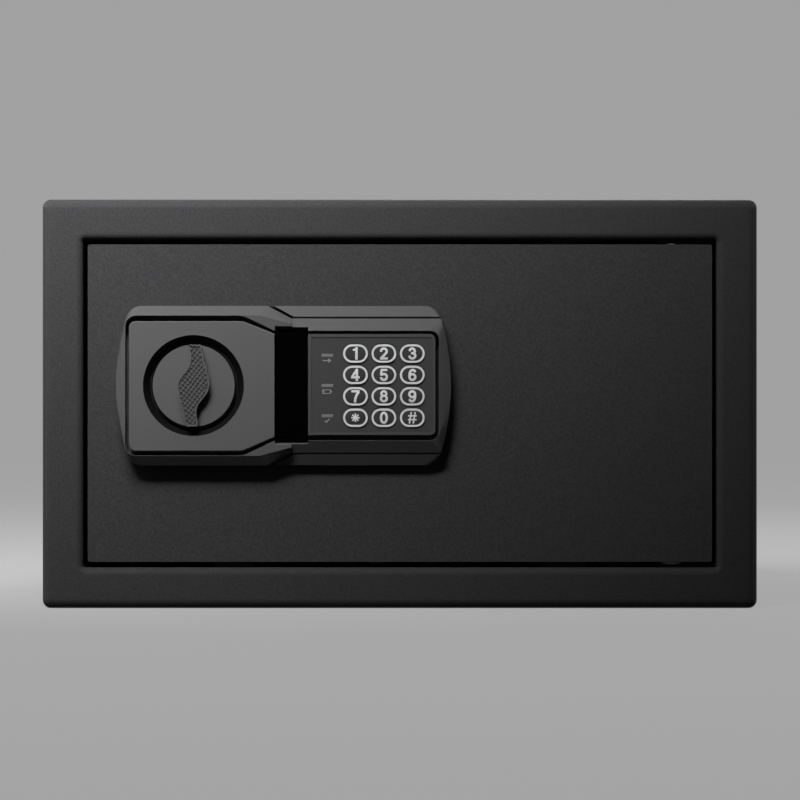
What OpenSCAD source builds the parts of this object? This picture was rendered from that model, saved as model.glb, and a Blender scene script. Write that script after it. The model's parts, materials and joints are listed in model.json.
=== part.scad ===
// Electronic security safe of the wide, laptop size.
// X runs to the right, Y from the front face to the back, Z up.
// The origin is the middle of the cabinet's underside.

/* [Cabinet] */
// Outside width of the cabinet
cabinet_w = 430; // [405:5:520]
// Outside height of the cabinet
cabinet_h = 246; // [240:2:320]
// Depth of the cabinet, without the lock
cabinet_d = 370; // [300:5:450]
// Thickness of the folded sheet and the back panel
wall_t = 2; // [1.5:0.25:2.5]
// Outer radius of the four long edges
edge_r = 5; // [4:0.5:8]
// Outer radius of the bend round the front face
front_bend_r = 4; // [3:0.5:6]
// Width of the front frame, from the outside to the clear opening
frame_w = 24.5; // [23:0.5:30]
// Depth of the lip that turns in round the opening
lip_depth = 9; // [8:0.5:10]
// Outer radius of the bend into the lip
lip_bend_r = 3; // [2.5:0.25:4]
// Radius of the opening's corners at the front face
lip_corner_r = 5.5; // [4.5:0.5:8]
// Thickness of the bar that the bolts lock behind
strike_t = 3; // [2:0.5:4]
// Length of the strike bar
strike_len = 166; // [130:2:180]
// Thickness of the felt mat
mat_t = 3; // [2:0.5:4]
// Gap between the mat and the walls
mat_gap = 4; // [2:0.5:8]
// Radius of the anchor holes
anchor_r = 5.5; // [4:0.5:7]
// Side to side spacing of the floor anchors
floor_anchor_x = 260; // [200:5:300]
// Front to back spacing of the floor anchors
floor_anchor_y = 200; // [140:5:230]
// Spacing of the two wall anchors
wall_anchor_x = 280; // [200:5:320]
// Height of the wall anchors over the floor
wall_anchor_z = 150; // [100:5:180]

/* [Door] */
// Thickness of the door plate
door_t = 4; // [3:0.5:5]
// How far the door lies behind the front face
door_recess = 3; // [2:0.5:4]
// Gap between door and opening on the bolt side
latch_gap = 2.8; // [2.2:0.2:3.6]
// Gap between door and opening on the hinge side
hinge_gap = 2.6; // [2.4:0.2:3.6]
// Gap over the door
top_gap = 2.6; // [2:0.2:3.6]
// Gap under the door
bottom_gap = 3.4; // [2.6:0.2:4]
// Radius of the door's corners
door_corner_r = 1.5; // [0.5:0.5:3]
// Depth of the pan behind the door plate
pan_depth = 40; // [38:1:46]
// Thickness of the pan's sheet
pan_t = 1.5; // [1:0.25:2]
// How far the pan stays inside the door's edges
pan_inset = 4.5; // [4:0.5:7]
// Width of the pan's rear return
pan_return = 9; // [8:0.5:12]
// Thickness of the inner cover
cover_t = 1.2; // [1:0.2:2]
// Radius of the cover screws
cover_screw_r = 2; // [1.5:0.25:2.5]

/* [Hinge] */
// Distance of the pivot from the door's edge
pivot_inset = 24; // [22:1:30]
// Radius of the hinge pins
pin_r = 3; // [2.5:0.25:3.5]
// Outer radius of the hinge knuckles
knuckle_r = 6; // [5.5:0.25:6.5]
// Length of each knuckle
knuckle_len = 24; // [18:1:34]
// Thickness of the hinge brackets
bracket_t = 3; // [2:0.5:4]
// Height of a bracket's wall leg
bracket_leg = 24; // [18:1:34]
// Thickness of the washer that the door rests on
washer_t = 1.2; // [0.8:0.2:1.6]
// Running gap between door and washer
washer_gap = 0.3; // [0.2:0.1:0.5]

/* [Bolts] */
// Radius of a locking bolt
bolt_r = 9; // [7:0.5:10]
// Spacing of the two bolts
bolt_spacing = 90; // [84:2:120]
// Play between bolts and strike bar
bolt_play = 1; // [0.5:0.25:2]
// Distance of the drive pin from the spindle
crank_r = 12; // [10:0.5:13]
// Radius of the drive pin
drive_pin_r = 2.5; // [2:0.25:3]
// Thickness of the bolt carriage
carriage_t = 2.5; // [2:0.25:3]
// Half height of the bolt carriage
carriage_half = 34; // [33:0.5:36]
// Radius of the guide studs
stud_r = 3; // [2.5:0.25:3.5]
// Radius of the solenoid's plunger
plunger_r = 3; // [2.5:0.25:3.5]
// How far the plunger drops into its notch
plunger_drop = 4.5; // [3.5:0.25:5.5]

/* [Lock] */
// Distance of the lock's middle from the door's bolt-side edge
lock_from_edge = 118; // [112:1:150]
// Distance of the lock's middle from the door's top edge
lock_from_top = 85; // [84:1:110]
// Width of the lock housing
fascia_w = 200.8; // [199:0.2:204]
// Height of the lock housing
fascia_h = 95.6; // [95:0.2:100]
// Rise of the housing's curved ends
end_bulge = 8.5; // [6:0.5:10]
// Corner radius of the housing
fascia_corner_r = 10; // [7:0.5:13]
// Height of the housing's upright rim
rim_h = 11; // [10:0.5:12]
// Height of the housing's sloping band
band_rise = 5; // [4:0.5:6]
// Height of the lower rim beside the keypad
wing_h = 6; // [5:0.5:8]
// Half height of the raised waist round the keypad
waist_half = 40.2; // [39:0.2:41]
// Wall thickness of the housing
fascia_wall = 2.5; // [2:0.25:3]
// Width of the knob plate
plate_w = 88; // [86:0.5:88.5]
// Height of the knob plate
plate_h = 78.8; // [77:0.2:80]
// Gap round the knob plate
plate_gap = 2.4; // [1.5:0.1:2.6]
// How far the knob plate stands over the band
plate_proud = 1.5; // [0.5:0.25:3]
// Width of the keypad panel
pad_w = 77; // [75:0.5:78]
// Height of the keypad panel
pad_h = 61.7; // [60:0.1:62.5]
// Width of the keyhole cover's slot
slot_w = 19.9; // [19.5:0.1:20.5]

/* [Knob] */
// Radius of the knob's disc
knob_r = 25.2; // [22:0.2:26]
// Radius of the dish round the knob
dish_r = 30.2; // [29:0.2:32]
// Height of the grip over the disc
grip_h = 6; // [5:0.5:10]
// Radius of the spindle
spindle_r = 5; // [4:0.25:5.5]

/* [Keypad] */
// Width of a key
key_w = 15; // [13:0.2:15.2]
// Height of a key
key_h = 11.2; // [10:0.2:11.4]
// Side to side pitch of the keys
key_pitch_x = 17; // [16.8:0.2:17.4]
// Row pitch of the keys
key_pitch_y = 12.8; // [12.6:0.1:13.2]
// Travel of a key
key_travel = 1; // [0.6:0.1:1.1]
// How far a key stands over the panel
key_proud = 1; // [0.5:0.1:2]
// Width of a status lens
lens_w = 6.9; // [5:0.2:8]
// Height of a status lens
lens_h = 2; // [1.5:0.25:3]
// Spacing of the status lenses
lens_pitch = 18.1; // [15:0.1:20]

/* [Battery] */
// Radius of a battery cell
cell_r = 7.1; // [6.9:0.1:7.25]
// Length of a battery cell
cell_len = 50; // [49:0.5:50.5]
// Distance of the battery box from the pan's hinge side
battery_inset = 26; // [20:1:60]
// Travel of the reset button
reset_travel = 2; // [1:0.25:3]
// Radius of the reset button
reset_r = 3.5; // [3:0.25:4.5]

/* [Hidden] */
$fn = 48;
eps = 0.01;
fit = 0.05;          // radial clearance of a turning or fitted shaft
slide_gap = 0.3;     // clearance of a sliding piece

// The cabinet's planes
front_y = -cabinet_d / 2;
back_y = cabinet_d / 2;
side_x = cabinet_w / 2 - wall_t;
open_l = -cabinet_w / 2 + frame_w;
open_r = cabinet_w / 2 - frame_w;
open_b = frame_w;
open_t = cabinet_h - frame_w;
open_w = open_r - open_l;
open_h = open_t - open_b;
mid_z = cabinet_h / 2;
lip_end = front_y + lip_depth;
strike_back = lip_end + strike_t;

// The door's planes
door_front = front_y + door_recess;
door_back = door_front + door_t;
door_l = open_l + latch_gap;
door_r = open_r - hinge_gap;
door_b = open_b + bottom_gap;
door_top = open_t - top_gap;
cover_y = door_back + pan_depth;
cover_back = cover_y + cover_t;

// The hinge's axis
pivot_x = door_r - pivot_inset;
pivot_y = door_back + knuckle_r;
bracket_depth = 2 * knuckle_r + 4;
bracket_w = side_x - pivot_x + knuckle_r + 2;
pin_head_t = 1.5;
pin_head_r = pin_r + 0.8;

// The pan's outline
pan_l = door_l + 3;
pan_r = pivot_x - knuckle_r - 6;
pan_b = door_b + pan_inset;
pan_top = door_top - pan_inset;
cover_screw_inset = pan_t + pan_return / 2;

// The lock's middle, and the places in it
lock_x = door_l + lock_from_edge;
lock_z = door_top - lock_from_top;
band_top = rim_h + band_rise;
floor_top = 7;                    // the housing's inner floor
floor_t = 2.5;
slot_l = -5;                      // the keyhole slot's bolt-side edge
slot_r = slot_l + slot_w;
slot_half = 34.3;
slot_flare = 1.3;                 // the slot's ends slope by this much towards the front
plate_r = slot_l;
plate_l = plate_r - plate_w;
pocket_l = plate_l - 1.5;
pocket_half = plate_h / 2 + plate_gap;
band_run = fascia_h / 2 - pocket_half;
pad_l = slot_r;
pad_r = pad_l + pad_w;
pad_gap = 1.9;
pad_pocket_half = pad_h / 2 + pad_gap;
shoulder_u = -9.8;                // where the housing's top edge starts to step down
shoulder_run = 14.8;
groove_w = 1.1;                   // the groove beside the step
groove_deep = 2.4;
plate_shoulder = 19.2;            // how far the plate's cut corner runs along its top
plate_cut = 8.4;                  // and down its side
knob_u = plate_l + 39.4;
knob_x = lock_x + knob_u;
plate_top = band_top + plate_proud;
disc_top = plate_top - 2;
disc_t = 4.5;
dish_floor = disc_top - disc_t - 0.5;
grip_top = disc_top + grip_h;
insert_t = 1.4;
hub_r = 8.6;
screw_u = 84;
screw_v = 30;

// The keypad's layers, measured from the door's face
board_t = 1.6;
mat_sheet_t = 1.4;
panel_face = 15.4;
panel_t = 2.5;
pad_rim = 0.5;
pad_rim_w = 2;
key_mid_u = pad_l + 45.3;
key_flange = 0.6;
mat_stem_r = 2.7;                 // the rubber stem under each key
key_low = panel_face - panel_t - slide_gap - 1.2;
lens_u = pad_l + 11.5;
KEYS = ["1", "2", "3", "4", "5", "6", "7", "8", "9", "star", "0", "hash"];

// The boltwork
bolt_y = strike_back + bolt_play + bolt_r;
bolt_tip = door_l + 1.2;
throw = crank_r * sqrt(2);
carriage_y = bolt_y + 2.5;
cam_t = 4;
cam_y = carriage_y - slide_gap - 3.2 - cam_t;
flange_reach = 22.7;              // from the spindle to the carriage's flange
flange_x = knob_x - flange_reach;
flange_t = 3;
tail_r = 5;
carriage_reach = 35;
carriage_r = knob_x + carriage_reach;
carriage_top = lock_z + carriage_half;
carriage_low = lock_z - carriage_half;
stud_left = 14;                      // the guide studs' places round the spindle
stud_right = 11;
stud_low = 27;
stud_high = 22;
plunger_side = 6.3;
plunger_x = knob_x + plunger_side;
plunger_y = carriage_y + carriage_t / 2;
plunger_tip = carriage_top + 0.5;
collar_z = plunger_tip + 4;
collar_t = 1.5;
collar_r = plunger_r + 3;
frame_z = plunger_tip + 13.5;
frame_h = 29;
coil_r = 8.5;
frame_plate = 2;

// The emergency lock
override_u = slot_l + slot_w / 2;
override_x = lock_x + override_u;
override_r = 8;
override_face = 7.8;
plug_r = 5.5;
stub_r = 2.5;                     // the plug's stub, which carries the cam
keyway_deep = 6;
nut_t = 3.5;
arm_y = carriage_y + carriage_t + 1.5;
arm_t = 2;
arm_half = 2.5;
arm_reach = [plunger_x + collar_r - 1.5 - override_x, collar_z - slide_gap - arm_half - lock_z];
arm_len = norm(arm_reach);
arm_angle = atan2(arm_reach.y, arm_reach.x);

// The battery box and the reset button, on the inner cover
cell_pitch = 2 * cell_r + 0.6;
cell_cap = 1.2;
contact_t = 0.4;
battery_w = cell_len + 7;
battery_h = 4 * cell_pitch + 3;
battery_x = pan_r - battery_inset - battery_w / 2;
battery_z = lock_z - 4;
battery_deep = 2 * cell_r + 4;
cell_y = cover_back - battery_deep + 1.6 + cell_r;
reset_x = battery_x + 10;
reset_z = battery_z + battery_h / 2 + 24;

// Outlines

function unit(v) = v / norm(v);

// The arc that rounds corner p, between its neighbours a and b
function fillet(a, p, b, r, n) =
    r <= 0 ? [p] :
    let (ua = unit(a - p), ub = unit(b - p), half = acos(ua * ub) / 2,
         c = p + unit(ua + ub) * r / sin(half),
         s = p + ua * r / tan(half) - c, e = p + ub * r / tan(half) - c,
         start = atan2(s.y, s.x), turn = atan2(cross(s, e), s * e))
    [for (k = [0 : n]) c + r * [cos(start + turn * k / n), sin(start + turn * k / n)]];

// A closed outline from corners [x, y, radius]
function rounded(corners, n = 6) =
    let (m = len(corners), p = [for (q = corners) [q.x, q.y]])
    [for (i = [0 : m - 1]) each fillet(p[(i + m - 1) % m], p[i], p[(i + 1) % m], corners[i].z, n)];

// The housing's outline: straight top and bottom, and ends that bow out by bulge
function bulged(w, h, bulge, r, n = 14) =
    let (big = (h * h / 4 + bulge * bulge) / (2 * bulge), middle = w / 2 - big,
         split = asin((h / 2 - r) / (big - r)),
         corner = middle + (big - r) * cos(split),
         right = concat(
             [for (k = [0 : n]) let (a = -split + 2 * split * k / n)
                 [middle + big * cos(a), big * sin(a)]],
             [for (k = [1 : 8]) let (a = split + (90 - split) * k / 8)
                 [corner + r * cos(a), h / 2 - r + r * sin(a)]]),
         low = [for (k = [8 : -1 : 1]) let (a = split + (90 - split) * k / 8)
                 [corner + r * cos(a), -(h / 2 - r) - r * sin(a)]],
         side = concat(low, right))
    concat(side, [for (p = side) -p]);

module soft_rect(w, h, r) {
    square([w - 2 * r, h], center = true);
    square([w, h - 2 * r], center = true);
    for (x = [-1, 1], y = [-1, 1])
        translate([x * (w / 2 - r), y * (h / 2 - r)]) circle(r);
}

module span(x0, z0, x1, z1) { translate([x0, z0]) square([x1 - x0, z1 - z0]); }

// A drawing in X and Z, made solid from y0 back to y1
module depth(y0, y1) {
    translate([0, y1, 0]) rotate([90, 0, 0]) linear_extrude(y1 - y0) children();
}

// A drawing about the lock's middle, made solid between two heights over the door's face
module over_door(h0, h1) {
    translate([lock_x, door_front - h0, lock_z]) rotate([90, 0, 0])
        linear_extrude(h1 - h0) children();
}

// A round bar along Y at x and z
module rod_y(x, z, y0, y1, r) {
    translate([x, y1, z]) rotate([90, 0, 0]) cylinder(h = y1 - y0, r = r);
}

module rod_x(y, z, x0, x1, r) {
    translate([x0, y, z]) rotate([0, 90, 0]) cylinder(h = x1 - x0, r = r);
}

module rod_z(x, y, z0, z1, r) { translate([x, y, z0]) cylinder(h = z1 - z0, r = r); }

// Cabinet

// Section across the cabinet, with the bend round its front edge
module bent_front(w) {
    r = front_bend_r;
    translate([-w / 2, front_y + r]) square([w, cabinet_d - r]);
    translate([-w / 2 + r, front_y]) square([w - 2 * r, r]);
    for (s = [-1, 1]) translate([s * (w / 2 - r), front_y + r]) circle(r);
}

// Section across the opening, flared by the bend into the lip
module flared_opening(w) {
    r = lip_bend_r;
    translate([-w / 2, front_y - 1]) square([w, lip_depth + 3]);
    difference() {
        translate([-w / 2 - r, front_y - 1]) square([w + 2 * r, r + 1]);
        for (s = [-1, 1]) translate([s * (w / 2 + r), front_y + r]) circle(r);
    }
}

module across_x(long) { rotate([90, 0, 90]) linear_extrude(long, center = true) children(); }

module cabinet_outer() {
    intersection() {
        linear_extrude(cabinet_h) bent_front(cabinet_w);
        translate([0, 0, mid_z]) across_x(cabinet_w + 2) mirror_xy() bent_front(cabinet_h);
        depth(front_y - 1, back_y) translate([0, mid_z]) soft_rect(cabinet_w, cabinet_h, edge_r);
    }
}

module mirror_xy() { mirror([1, -1]) children(); }

module opening_cut() {
    intersection() {
        translate([0, 0, -1]) linear_extrude(cabinet_h + 2) flared_opening(open_w);
        translate([0, 0, mid_z]) across_x(cabinet_w) mirror_xy() flared_opening(open_h);
        depth(front_y - 2, lip_end + 2)
            translate([0, mid_z]) soft_rect(open_w + 2 * lip_bend_r, open_h + 2 * lip_bend_r, lip_corner_r);
    }
}

module floor_anchors(z0, z1, r) {
    for (x = [-1, 1], y = [-1, 1])
        rod_z(x * floor_anchor_x / 2, y * floor_anchor_y / 2, z0, z1, r);
}

// The wrap: four walls, the front frame and its lip
module cabinet_wrap() {
    color("dimgray") difference() {
        union() {
            difference() {
                cabinet_outer();
                depth(front_y + wall_t, back_y + 1) translate([0, mid_z])
                    soft_rect(cabinet_w - 2 * wall_t, cabinet_h - 2 * wall_t, edge_r - wall_t);
            }
            difference() {
                depth(front_y + wall_t - 0.5, lip_end)
                    span(open_l - wall_t, open_b - wall_t, open_r + wall_t, open_t + wall_t);
                depth(front_y, lip_end + 1) span(open_l, open_b, open_r, open_t);
            }
        }
        opening_cut();
        floor_anchors(-1, wall_t + 1, anchor_r);
    }
}

module back_panel() {
    color("dimgray") difference() {
        depth(back_y - wall_t, back_y) translate([0, mid_z])
            soft_rect(cabinet_w - 2 * wall_t, cabinet_h - 2 * wall_t, edge_r - wall_t);
        for (x = [-1, 1])
            rod_y(x * wall_anchor_x / 2, wall_anchor_z, back_y - wall_t - 1, back_y + 1, anchor_r);
    }
}

// Bar welded behind the lip on the bolt side, which the bolts bear on
module strike_bar() {
    color("dimgray") depth(lip_end, strike_back)
        span(-side_x, lock_z - strike_len / 2, open_l, lock_z + strike_len / 2);
}

// Tabs welded to the lip, over and under the pan, whose pads the closed door stops against
module door_stops() {
    color("dimgray") for (x = [-stop_x, stop_x]) {
        depth(lip_end, lip_end + stop_t) {
            span(x - 12, door_top - stop_reach, x + 12, open_t + wall_t);
            span(x - 12, open_b - wall_t, x + 12, door_b + stop_reach);
        }
        depth(door_back + 0.3, lip_end + eps) {
            span(x - 9, door_top - stop_reach, x + 9, door_top - 0.2);
            span(x - 9, door_b + 0.2, x + 9, door_b + stop_reach);
        }
    }
}

// Bracket: a tab with the pin's hole, and a leg on the side wall. up is 1 for a leg that rises.
module hinge_bracket(tab_z, up) {
    color("dimgray") difference() {
        union() {
            translate([side_x - bracket_w, lip_end, tab_z]) cube([bracket_w, bracket_depth, bracket_t]);
            translate([side_x - bracket_t, lip_end, up > 0 ? tab_z : tab_z + bracket_t - bracket_leg])
                cube([bracket_t, bracket_depth, bracket_leg]);
        }
        rod_z(pivot_x, pivot_y, tab_z - 1, tab_z + bracket_t + 1, pin_r + fit);
    }
}

upper_tab_z = door_top + 0.8;
lower_tab_z = door_b - washer_gap - washer_t - bracket_t;
stop_x = 100;
stop_t = 1.5;
stop_reach = pan_inset - 1.3;

module hinge_bracket_upper() { hinge_bracket(upper_tab_z, -1); }
module hinge_bracket_lower() { hinge_bracket(lower_tab_z, 1); }

module hinge_pins() {
    color("silver") {
        rod_z(pivot_x, pivot_y, door_top - knuckle_len + 2, upper_tab_z + bracket_t, pin_r);
        rod_z(pivot_x, pivot_y, upper_tab_z + bracket_t, upper_tab_z + bracket_t + pin_head_t, pin_head_r);
        rod_z(pivot_x, pivot_y, lower_tab_z, door_b + knuckle_len - 2, pin_r);
        rod_z(pivot_x, pivot_y, lower_tab_z - pin_head_t, lower_tab_z, pin_head_r);
    }
}

module hinge_washer() {
    color("white") difference() {
        rod_z(pivot_x, pivot_y, lower_tab_z + bracket_t, lower_tab_z + bracket_t + washer_t, knuckle_r);
        rod_z(pivot_x, pivot_y, lower_tab_z, door_b, pin_r + fit);
    }
}

module floor_mat() {
    color("gray") difference() {
        translate([-side_x + mat_gap, front_y + wall_t + mat_gap, wall_t])
            cube([2 * (side_x - mat_gap), cabinet_d - 2 * wall_t - 2 * mat_gap, mat_t]);
        floor_anchors(0, wall_t + mat_t + 1, 2 * anchor_r + 1);
    }
}

// Door

module screw_places() {
    for (u = [-1, 1], v = [-1, 1]) translate([u * screw_u, v * screw_v]) children();
}

module stud_places() {
    for (p = [[-stud_left, -stud_low], [stud_right, -stud_low], [-stud_left, stud_high]])
        translate([knob_x + p.x, lock_z + p.y]) children();
}

cable_u = pad_l + 38;
cable_r = 7;
small_screw_r = 1.5;              // the two screws that hold the solenoid
small_screw_dx = 4;
small_screw_dz = 8;

module solenoid_screws(y0, y1, r) {
    for (s = [-1, 1])
        rod_y(plunger_x + s * small_screw_dx, frame_z + frame_h / 2 + s * small_screw_dz, y0, y1, r);
}

module door_plate() {
    color("dimgray") difference() {
        depth(door_front, door_back) translate([(door_l + door_r) / 2, (door_b + door_top) / 2])
            soft_rect(door_r - door_l, door_top - door_b, door_corner_r);
        rod_y(knob_x, lock_z, door_front - 1, door_back + 1, spindle_r + 2 + fit);
        rod_y(override_x, lock_z, door_front - 1, door_back + 1, override_r + fit);
        rod_y(lock_x + cable_u, lock_z, door_front - 1, door_back + 1, cable_r);
        depth(door_front - 1, door_back + 1) translate([lock_x, lock_z])
            screw_places() circle(screw_r + 0.3);
        depth(door_front - 1, door_back + 1) stud_places() circle(stud_r + fit - 1);
        solenoid_screws(door_front + 1, door_back + 1, small_screw_r + 0.1);
    }
}

// Sheet frame behind the plate, with the bolts' holes and a return that takes the cover
module door_pan() {
    color("dimgray") difference() {
        union() {
            depth(door_back, cover_y) difference() {
                span(pan_l, pan_b, pan_r, pan_top);
                span(pan_l + pan_t, pan_b + pan_t, pan_r - pan_t, pan_top - pan_t);
            }
            depth(cover_y - pan_t, cover_y) difference() {
                span(pan_l + pan_t / 2, pan_b + pan_t / 2, pan_r - pan_t / 2, pan_top - pan_t / 2);
                span(pan_l + pan_t + pan_return, pan_b + pan_t + pan_return,
                     pan_r - pan_t - pan_return, pan_top - pan_t - pan_return);
            }
        }
        for (s = [-1, 1])
            rod_x(bolt_y, lock_z + s * bolt_spacing / 2, pan_l - 1, pan_l + pan_t + 1, bolt_r + slide_gap);
        depth(cover_y - pan_t - 1, cover_y + 1) cover_screw_places() circle(cover_screw_r);
    }
}

module cover_screw_places() {
    for (x = [pan_l + cover_screw_inset, (pan_l + pan_r) / 2, pan_r - cover_screw_inset],
         z = [pan_b + cover_screw_inset, pan_top - cover_screw_inset])
        translate([x, z]) children();
}

module hinge_knuckles() {
    color("dimgray") for (z = [door_b, door_top - knuckle_len]) difference() {
        union() {
            rod_z(pivot_x, pivot_y, z, z + knuckle_len, knuckle_r);
            translate([pivot_x - knuckle_r, door_back, z]) cube([2 * knuckle_r, knuckle_r, knuckle_len]);
        }
        rod_z(pivot_x, pivot_y, z - 1, z + knuckle_len + 1, pin_r + fit);
    }
}

module inner_cover() {
    color("dimgray") difference() {
        depth(cover_y, cover_back) span(pan_l, pan_b, pan_r, pan_top);
        depth(cover_y - 1, cover_back + 1) translate([battery_x, battery_z])
            square([battery_w + 0.6, battery_h + 0.6], center = true);
        rod_y(reset_x, reset_z, cover_y - 1, cover_back + 1, reset_r + 2);
        depth(cover_y - 1, cover_back + 1) cover_screw_places() circle(cover_screw_r + 0.2);
    }
}

module cover_screws() {
    color("silver") {
        depth(cover_y - pan_t - 3, cover_back) cover_screw_places() circle(cover_screw_r - fit);
        depth(cover_back, cover_back + 1.8) cover_screw_places() circle(2 * cover_screw_r - 0.2);
    }
}

// Lock housing

function plate_outline(half, left, right, r, shoulder_r, cut) = rounded([
    [left, half, r], [right - plate_shoulder, half, shoulder_r], [right, half - cut, 0],
    [right, -half + cut, 0], [right - plate_shoulder, -half, shoulder_r], [left, -half, r]]);

module pad_outline(left, right, half, r) {
    polygon(rounded([[left, half, 0], [right, half, r], [right, -half, r], [left, -half, 0]]));
}

module pocket_shapes() {
    polygon(plate_outline(pocket_half, pocket_l, plate_r + eps, 6.5, 9, pocket_half - pad_pocket_half));
    span(slot_l, -slot_half, slot_r, slot_half);
    pad_outline(pad_l - eps, pad_r + pad_gap - 0.5, pad_pocket_half, 5.5);
}

// The housing's outline on the knob's side of the step
module knob_side() {
    intersection() {
        polygon(bulged(fascia_w, fascia_h, end_bulge, fascia_corner_r));
        polygon([[-fascia_w, fascia_h / 2], [shoulder_u, fascia_h / 2],
                 [shoulder_u + shoulder_run, waist_half], [shoulder_u + shoulder_run, -waist_half],
                 [shoulder_u, -fascia_h / 2], [-fascia_w, -fascia_h / 2]]);
    }
}

module pad_side() {
    intersection() {
        polygon(bulged(fascia_w, fascia_h, end_bulge, fascia_corner_r));
        span(shoulder_u, -waist_half, fascia_w, waist_half);
    }
}

module fascia_outer() {
    hull() {
        over_door(0, rim_h) knob_side();
        over_door(band_top - eps, band_top)
            polygon(plate_outline(pocket_half + 0.2, pocket_l - 0.2, shoulder_u + shoulder_run,
                                  6.5, 9, pocket_half - pad_pocket_half - 4));
    }
    hull() {
        over_door(0, rim_h) pad_side();
        over_door(band_top - eps, band_top)
            pad_outline(shoulder_u, pad_r + pad_gap - 0.3, pad_pocket_half + 0.2, 5.5);
    }
    hull() {
        over_door(0, wing_h) polygon(bulged(fascia_w, fascia_h, end_bulge, fascia_corner_r));
        over_door(rim_h - eps, rim_h) pad_side();
    }
}

// The groove that follows the step
module step_groove(side) {
    w = groove_w;
    over_door(rim_h - groove_deep, band_top)
        polygon([for (p = [[shoulder_u + shoulder_run, waist_half], [fascia_w / 2, waist_half],
                           [fascia_w / 2, waist_half + w], [shoulder_u + shoulder_run, waist_half + w]])
            [p.x, side * p.y]]);
    over_door(wing_h - groove_deep / 2, band_top)
        polygon([for (p = [[shoulder_u, fascia_h / 2], [shoulder_u + shoulder_run, waist_half],
                           [shoulder_u + shoulder_run + w, waist_half + w],
                           [shoulder_u + 2 * w, fascia_h / 2 + w]])
            [p.x, side * p.y]]);
}

module fascia_housing() {
    color([0.16, 0.16, 0.17]) difference() {
        union() {
            difference() {
                fascia_outer();
                over_door(-1, floor_top - floor_t)
                    polygon(bulged(fascia_w - 2 * fascia_wall, fascia_h - 2 * fascia_wall,
                                   end_bulge, fascia_corner_r - fascia_wall));
                over_door(floor_top, band_top + 1) pocket_shapes();
                slot_slope();
                for (side = [1, -1]) step_groove(side);
            }
            over_door(0, floor_top - floor_t + eps) screw_places() circle(4.5);
        }
        over_door(-1, floor_top - 1) screw_places() circle(screw_r + fit);
        over_door(-1, floor_top + 1) {
            translate([knob_u, 0]) circle(hub_r + 1);
            translate([override_u, 0]) circle(override_r + 0.6);
            translate([cable_u, 0]) circle(cable_r);
        }
    }
}

// The slope at the slot's upper and lower end
module slot_slope() {
    hull() {
        over_door(band_top - 3, band_top - 2.9) span(slot_l, -slot_half, slot_r, slot_half);
        over_door(band_top + 0.1, band_top + 0.2)
            span(slot_l, -slot_half - slot_flare, slot_r, slot_half + slot_flare);
    }
}

module knob_plate() {
    color([0.17, 0.17, 0.18]) difference() {
        hull() {
            over_door(floor_top, plate_top - 0.6)
                polygon(plate_outline(plate_h / 2, plate_l, plate_r, 5, 7, plate_cut));
            over_door(plate_top - eps, plate_top)
                polygon(plate_outline(plate_h / 2 - 0.6, plate_l + 0.6, plate_r - 0.3,
                                      4.4, 6.6, plate_cut));
        }
        over_door(floor_top - 1, plate_top - 2.5) difference() {
            polygon(plate_outline(plate_h / 2 - 2, plate_l + 2, plate_r - 2, 3, 5, plate_cut));
            translate([knob_u, 0]) circle(dish_r + 1.2);
        }
        translate([knob_x, door_front - dish_floor, lock_z]) rotate([90, 0, 0])
            cylinder(h = plate_top - dish_floor + eps, r1 = knob_r + 0.8, r2 = dish_r);
        over_door(floor_top - 1, dish_floor + 1) translate([knob_u, 0]) circle(hub_r + slide_gap);
    }
}

// Keypad

function key_u(i) = key_mid_u + (i % 3 - 1) * key_pitch_x;
function key_v(i) = (1.5 - floor(i / 3)) * key_pitch_y;

// A pill of the key's size grown by g
module pill(g) {
    r = key_h / 2 + g;
    flat = (key_w - key_h) / 2;
    square([2 * flat, 2 * r], center = true);
    for (s = [-1, 1]) translate([s * flat, 0]) circle(r);
}

module key_places() { for (i = [0 : 11]) translate([key_u(i), key_v(i)]) children(); }
module lens_places() { for (k = [-1 : 1]) translate([lens_u, k * lens_pitch]) children(); }

module keypad_panel() {
    color([0.15, 0.15, 0.15]) difference() {
        over_door(floor_top, panel_face + pad_rim) pad_outline(pad_l, pad_r, pad_h / 2, 4);
        over_door(floor_top - 1, panel_face - panel_t)
            pad_outline(pad_l + 1.6, pad_r - 1.6, pad_h / 2 - 1.6, 2.5);
        over_door(panel_face, panel_face + 1)
            pad_outline(pad_l + pad_rim_w, pad_r - 1.2, pad_h / 2 - pad_rim_w, 3);
        over_door(floor_top, panel_face + 1) {
            key_places() pill(slide_gap);
            lens_places() square([lens_w, lens_h], center = true);
        }
    }
}

module keypad_board() {
    color("darkgreen") over_door(floor_top, floor_top + board_t)
        span(pad_l + 2, -pad_h / 2 + 2, pad_r - 4.5, pad_h / 2 - 2);
}

module key_mat() {
    color("gray") {
        over_door(floor_top + board_t, floor_top + board_t + mat_sheet_t)
            span(key_mid_u - key_pitch_x - key_w / 2, -1.5 * key_pitch_y - key_h / 2,
                 key_mid_u + key_pitch_x + key_w / 2, 1.5 * key_pitch_y + key_h / 2);
        over_door(floor_top + board_t + mat_sheet_t - eps, key_low + 0.5) key_places() circle(mat_stem_r);
    }
}

module status_lenses() {
    color([0.5, 0.55, 0.5]) {
        over_door(panel_face - panel_t, panel_face + 0.2)
            lens_places() square([lens_w - 0.1, lens_h - 0.1], center = true);
        over_door(panel_face - panel_t - 1.5, panel_face - panel_t)
            lens_places() square([lens_w + 1.5, lens_h + 1.5], center = true);
    }
}

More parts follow.
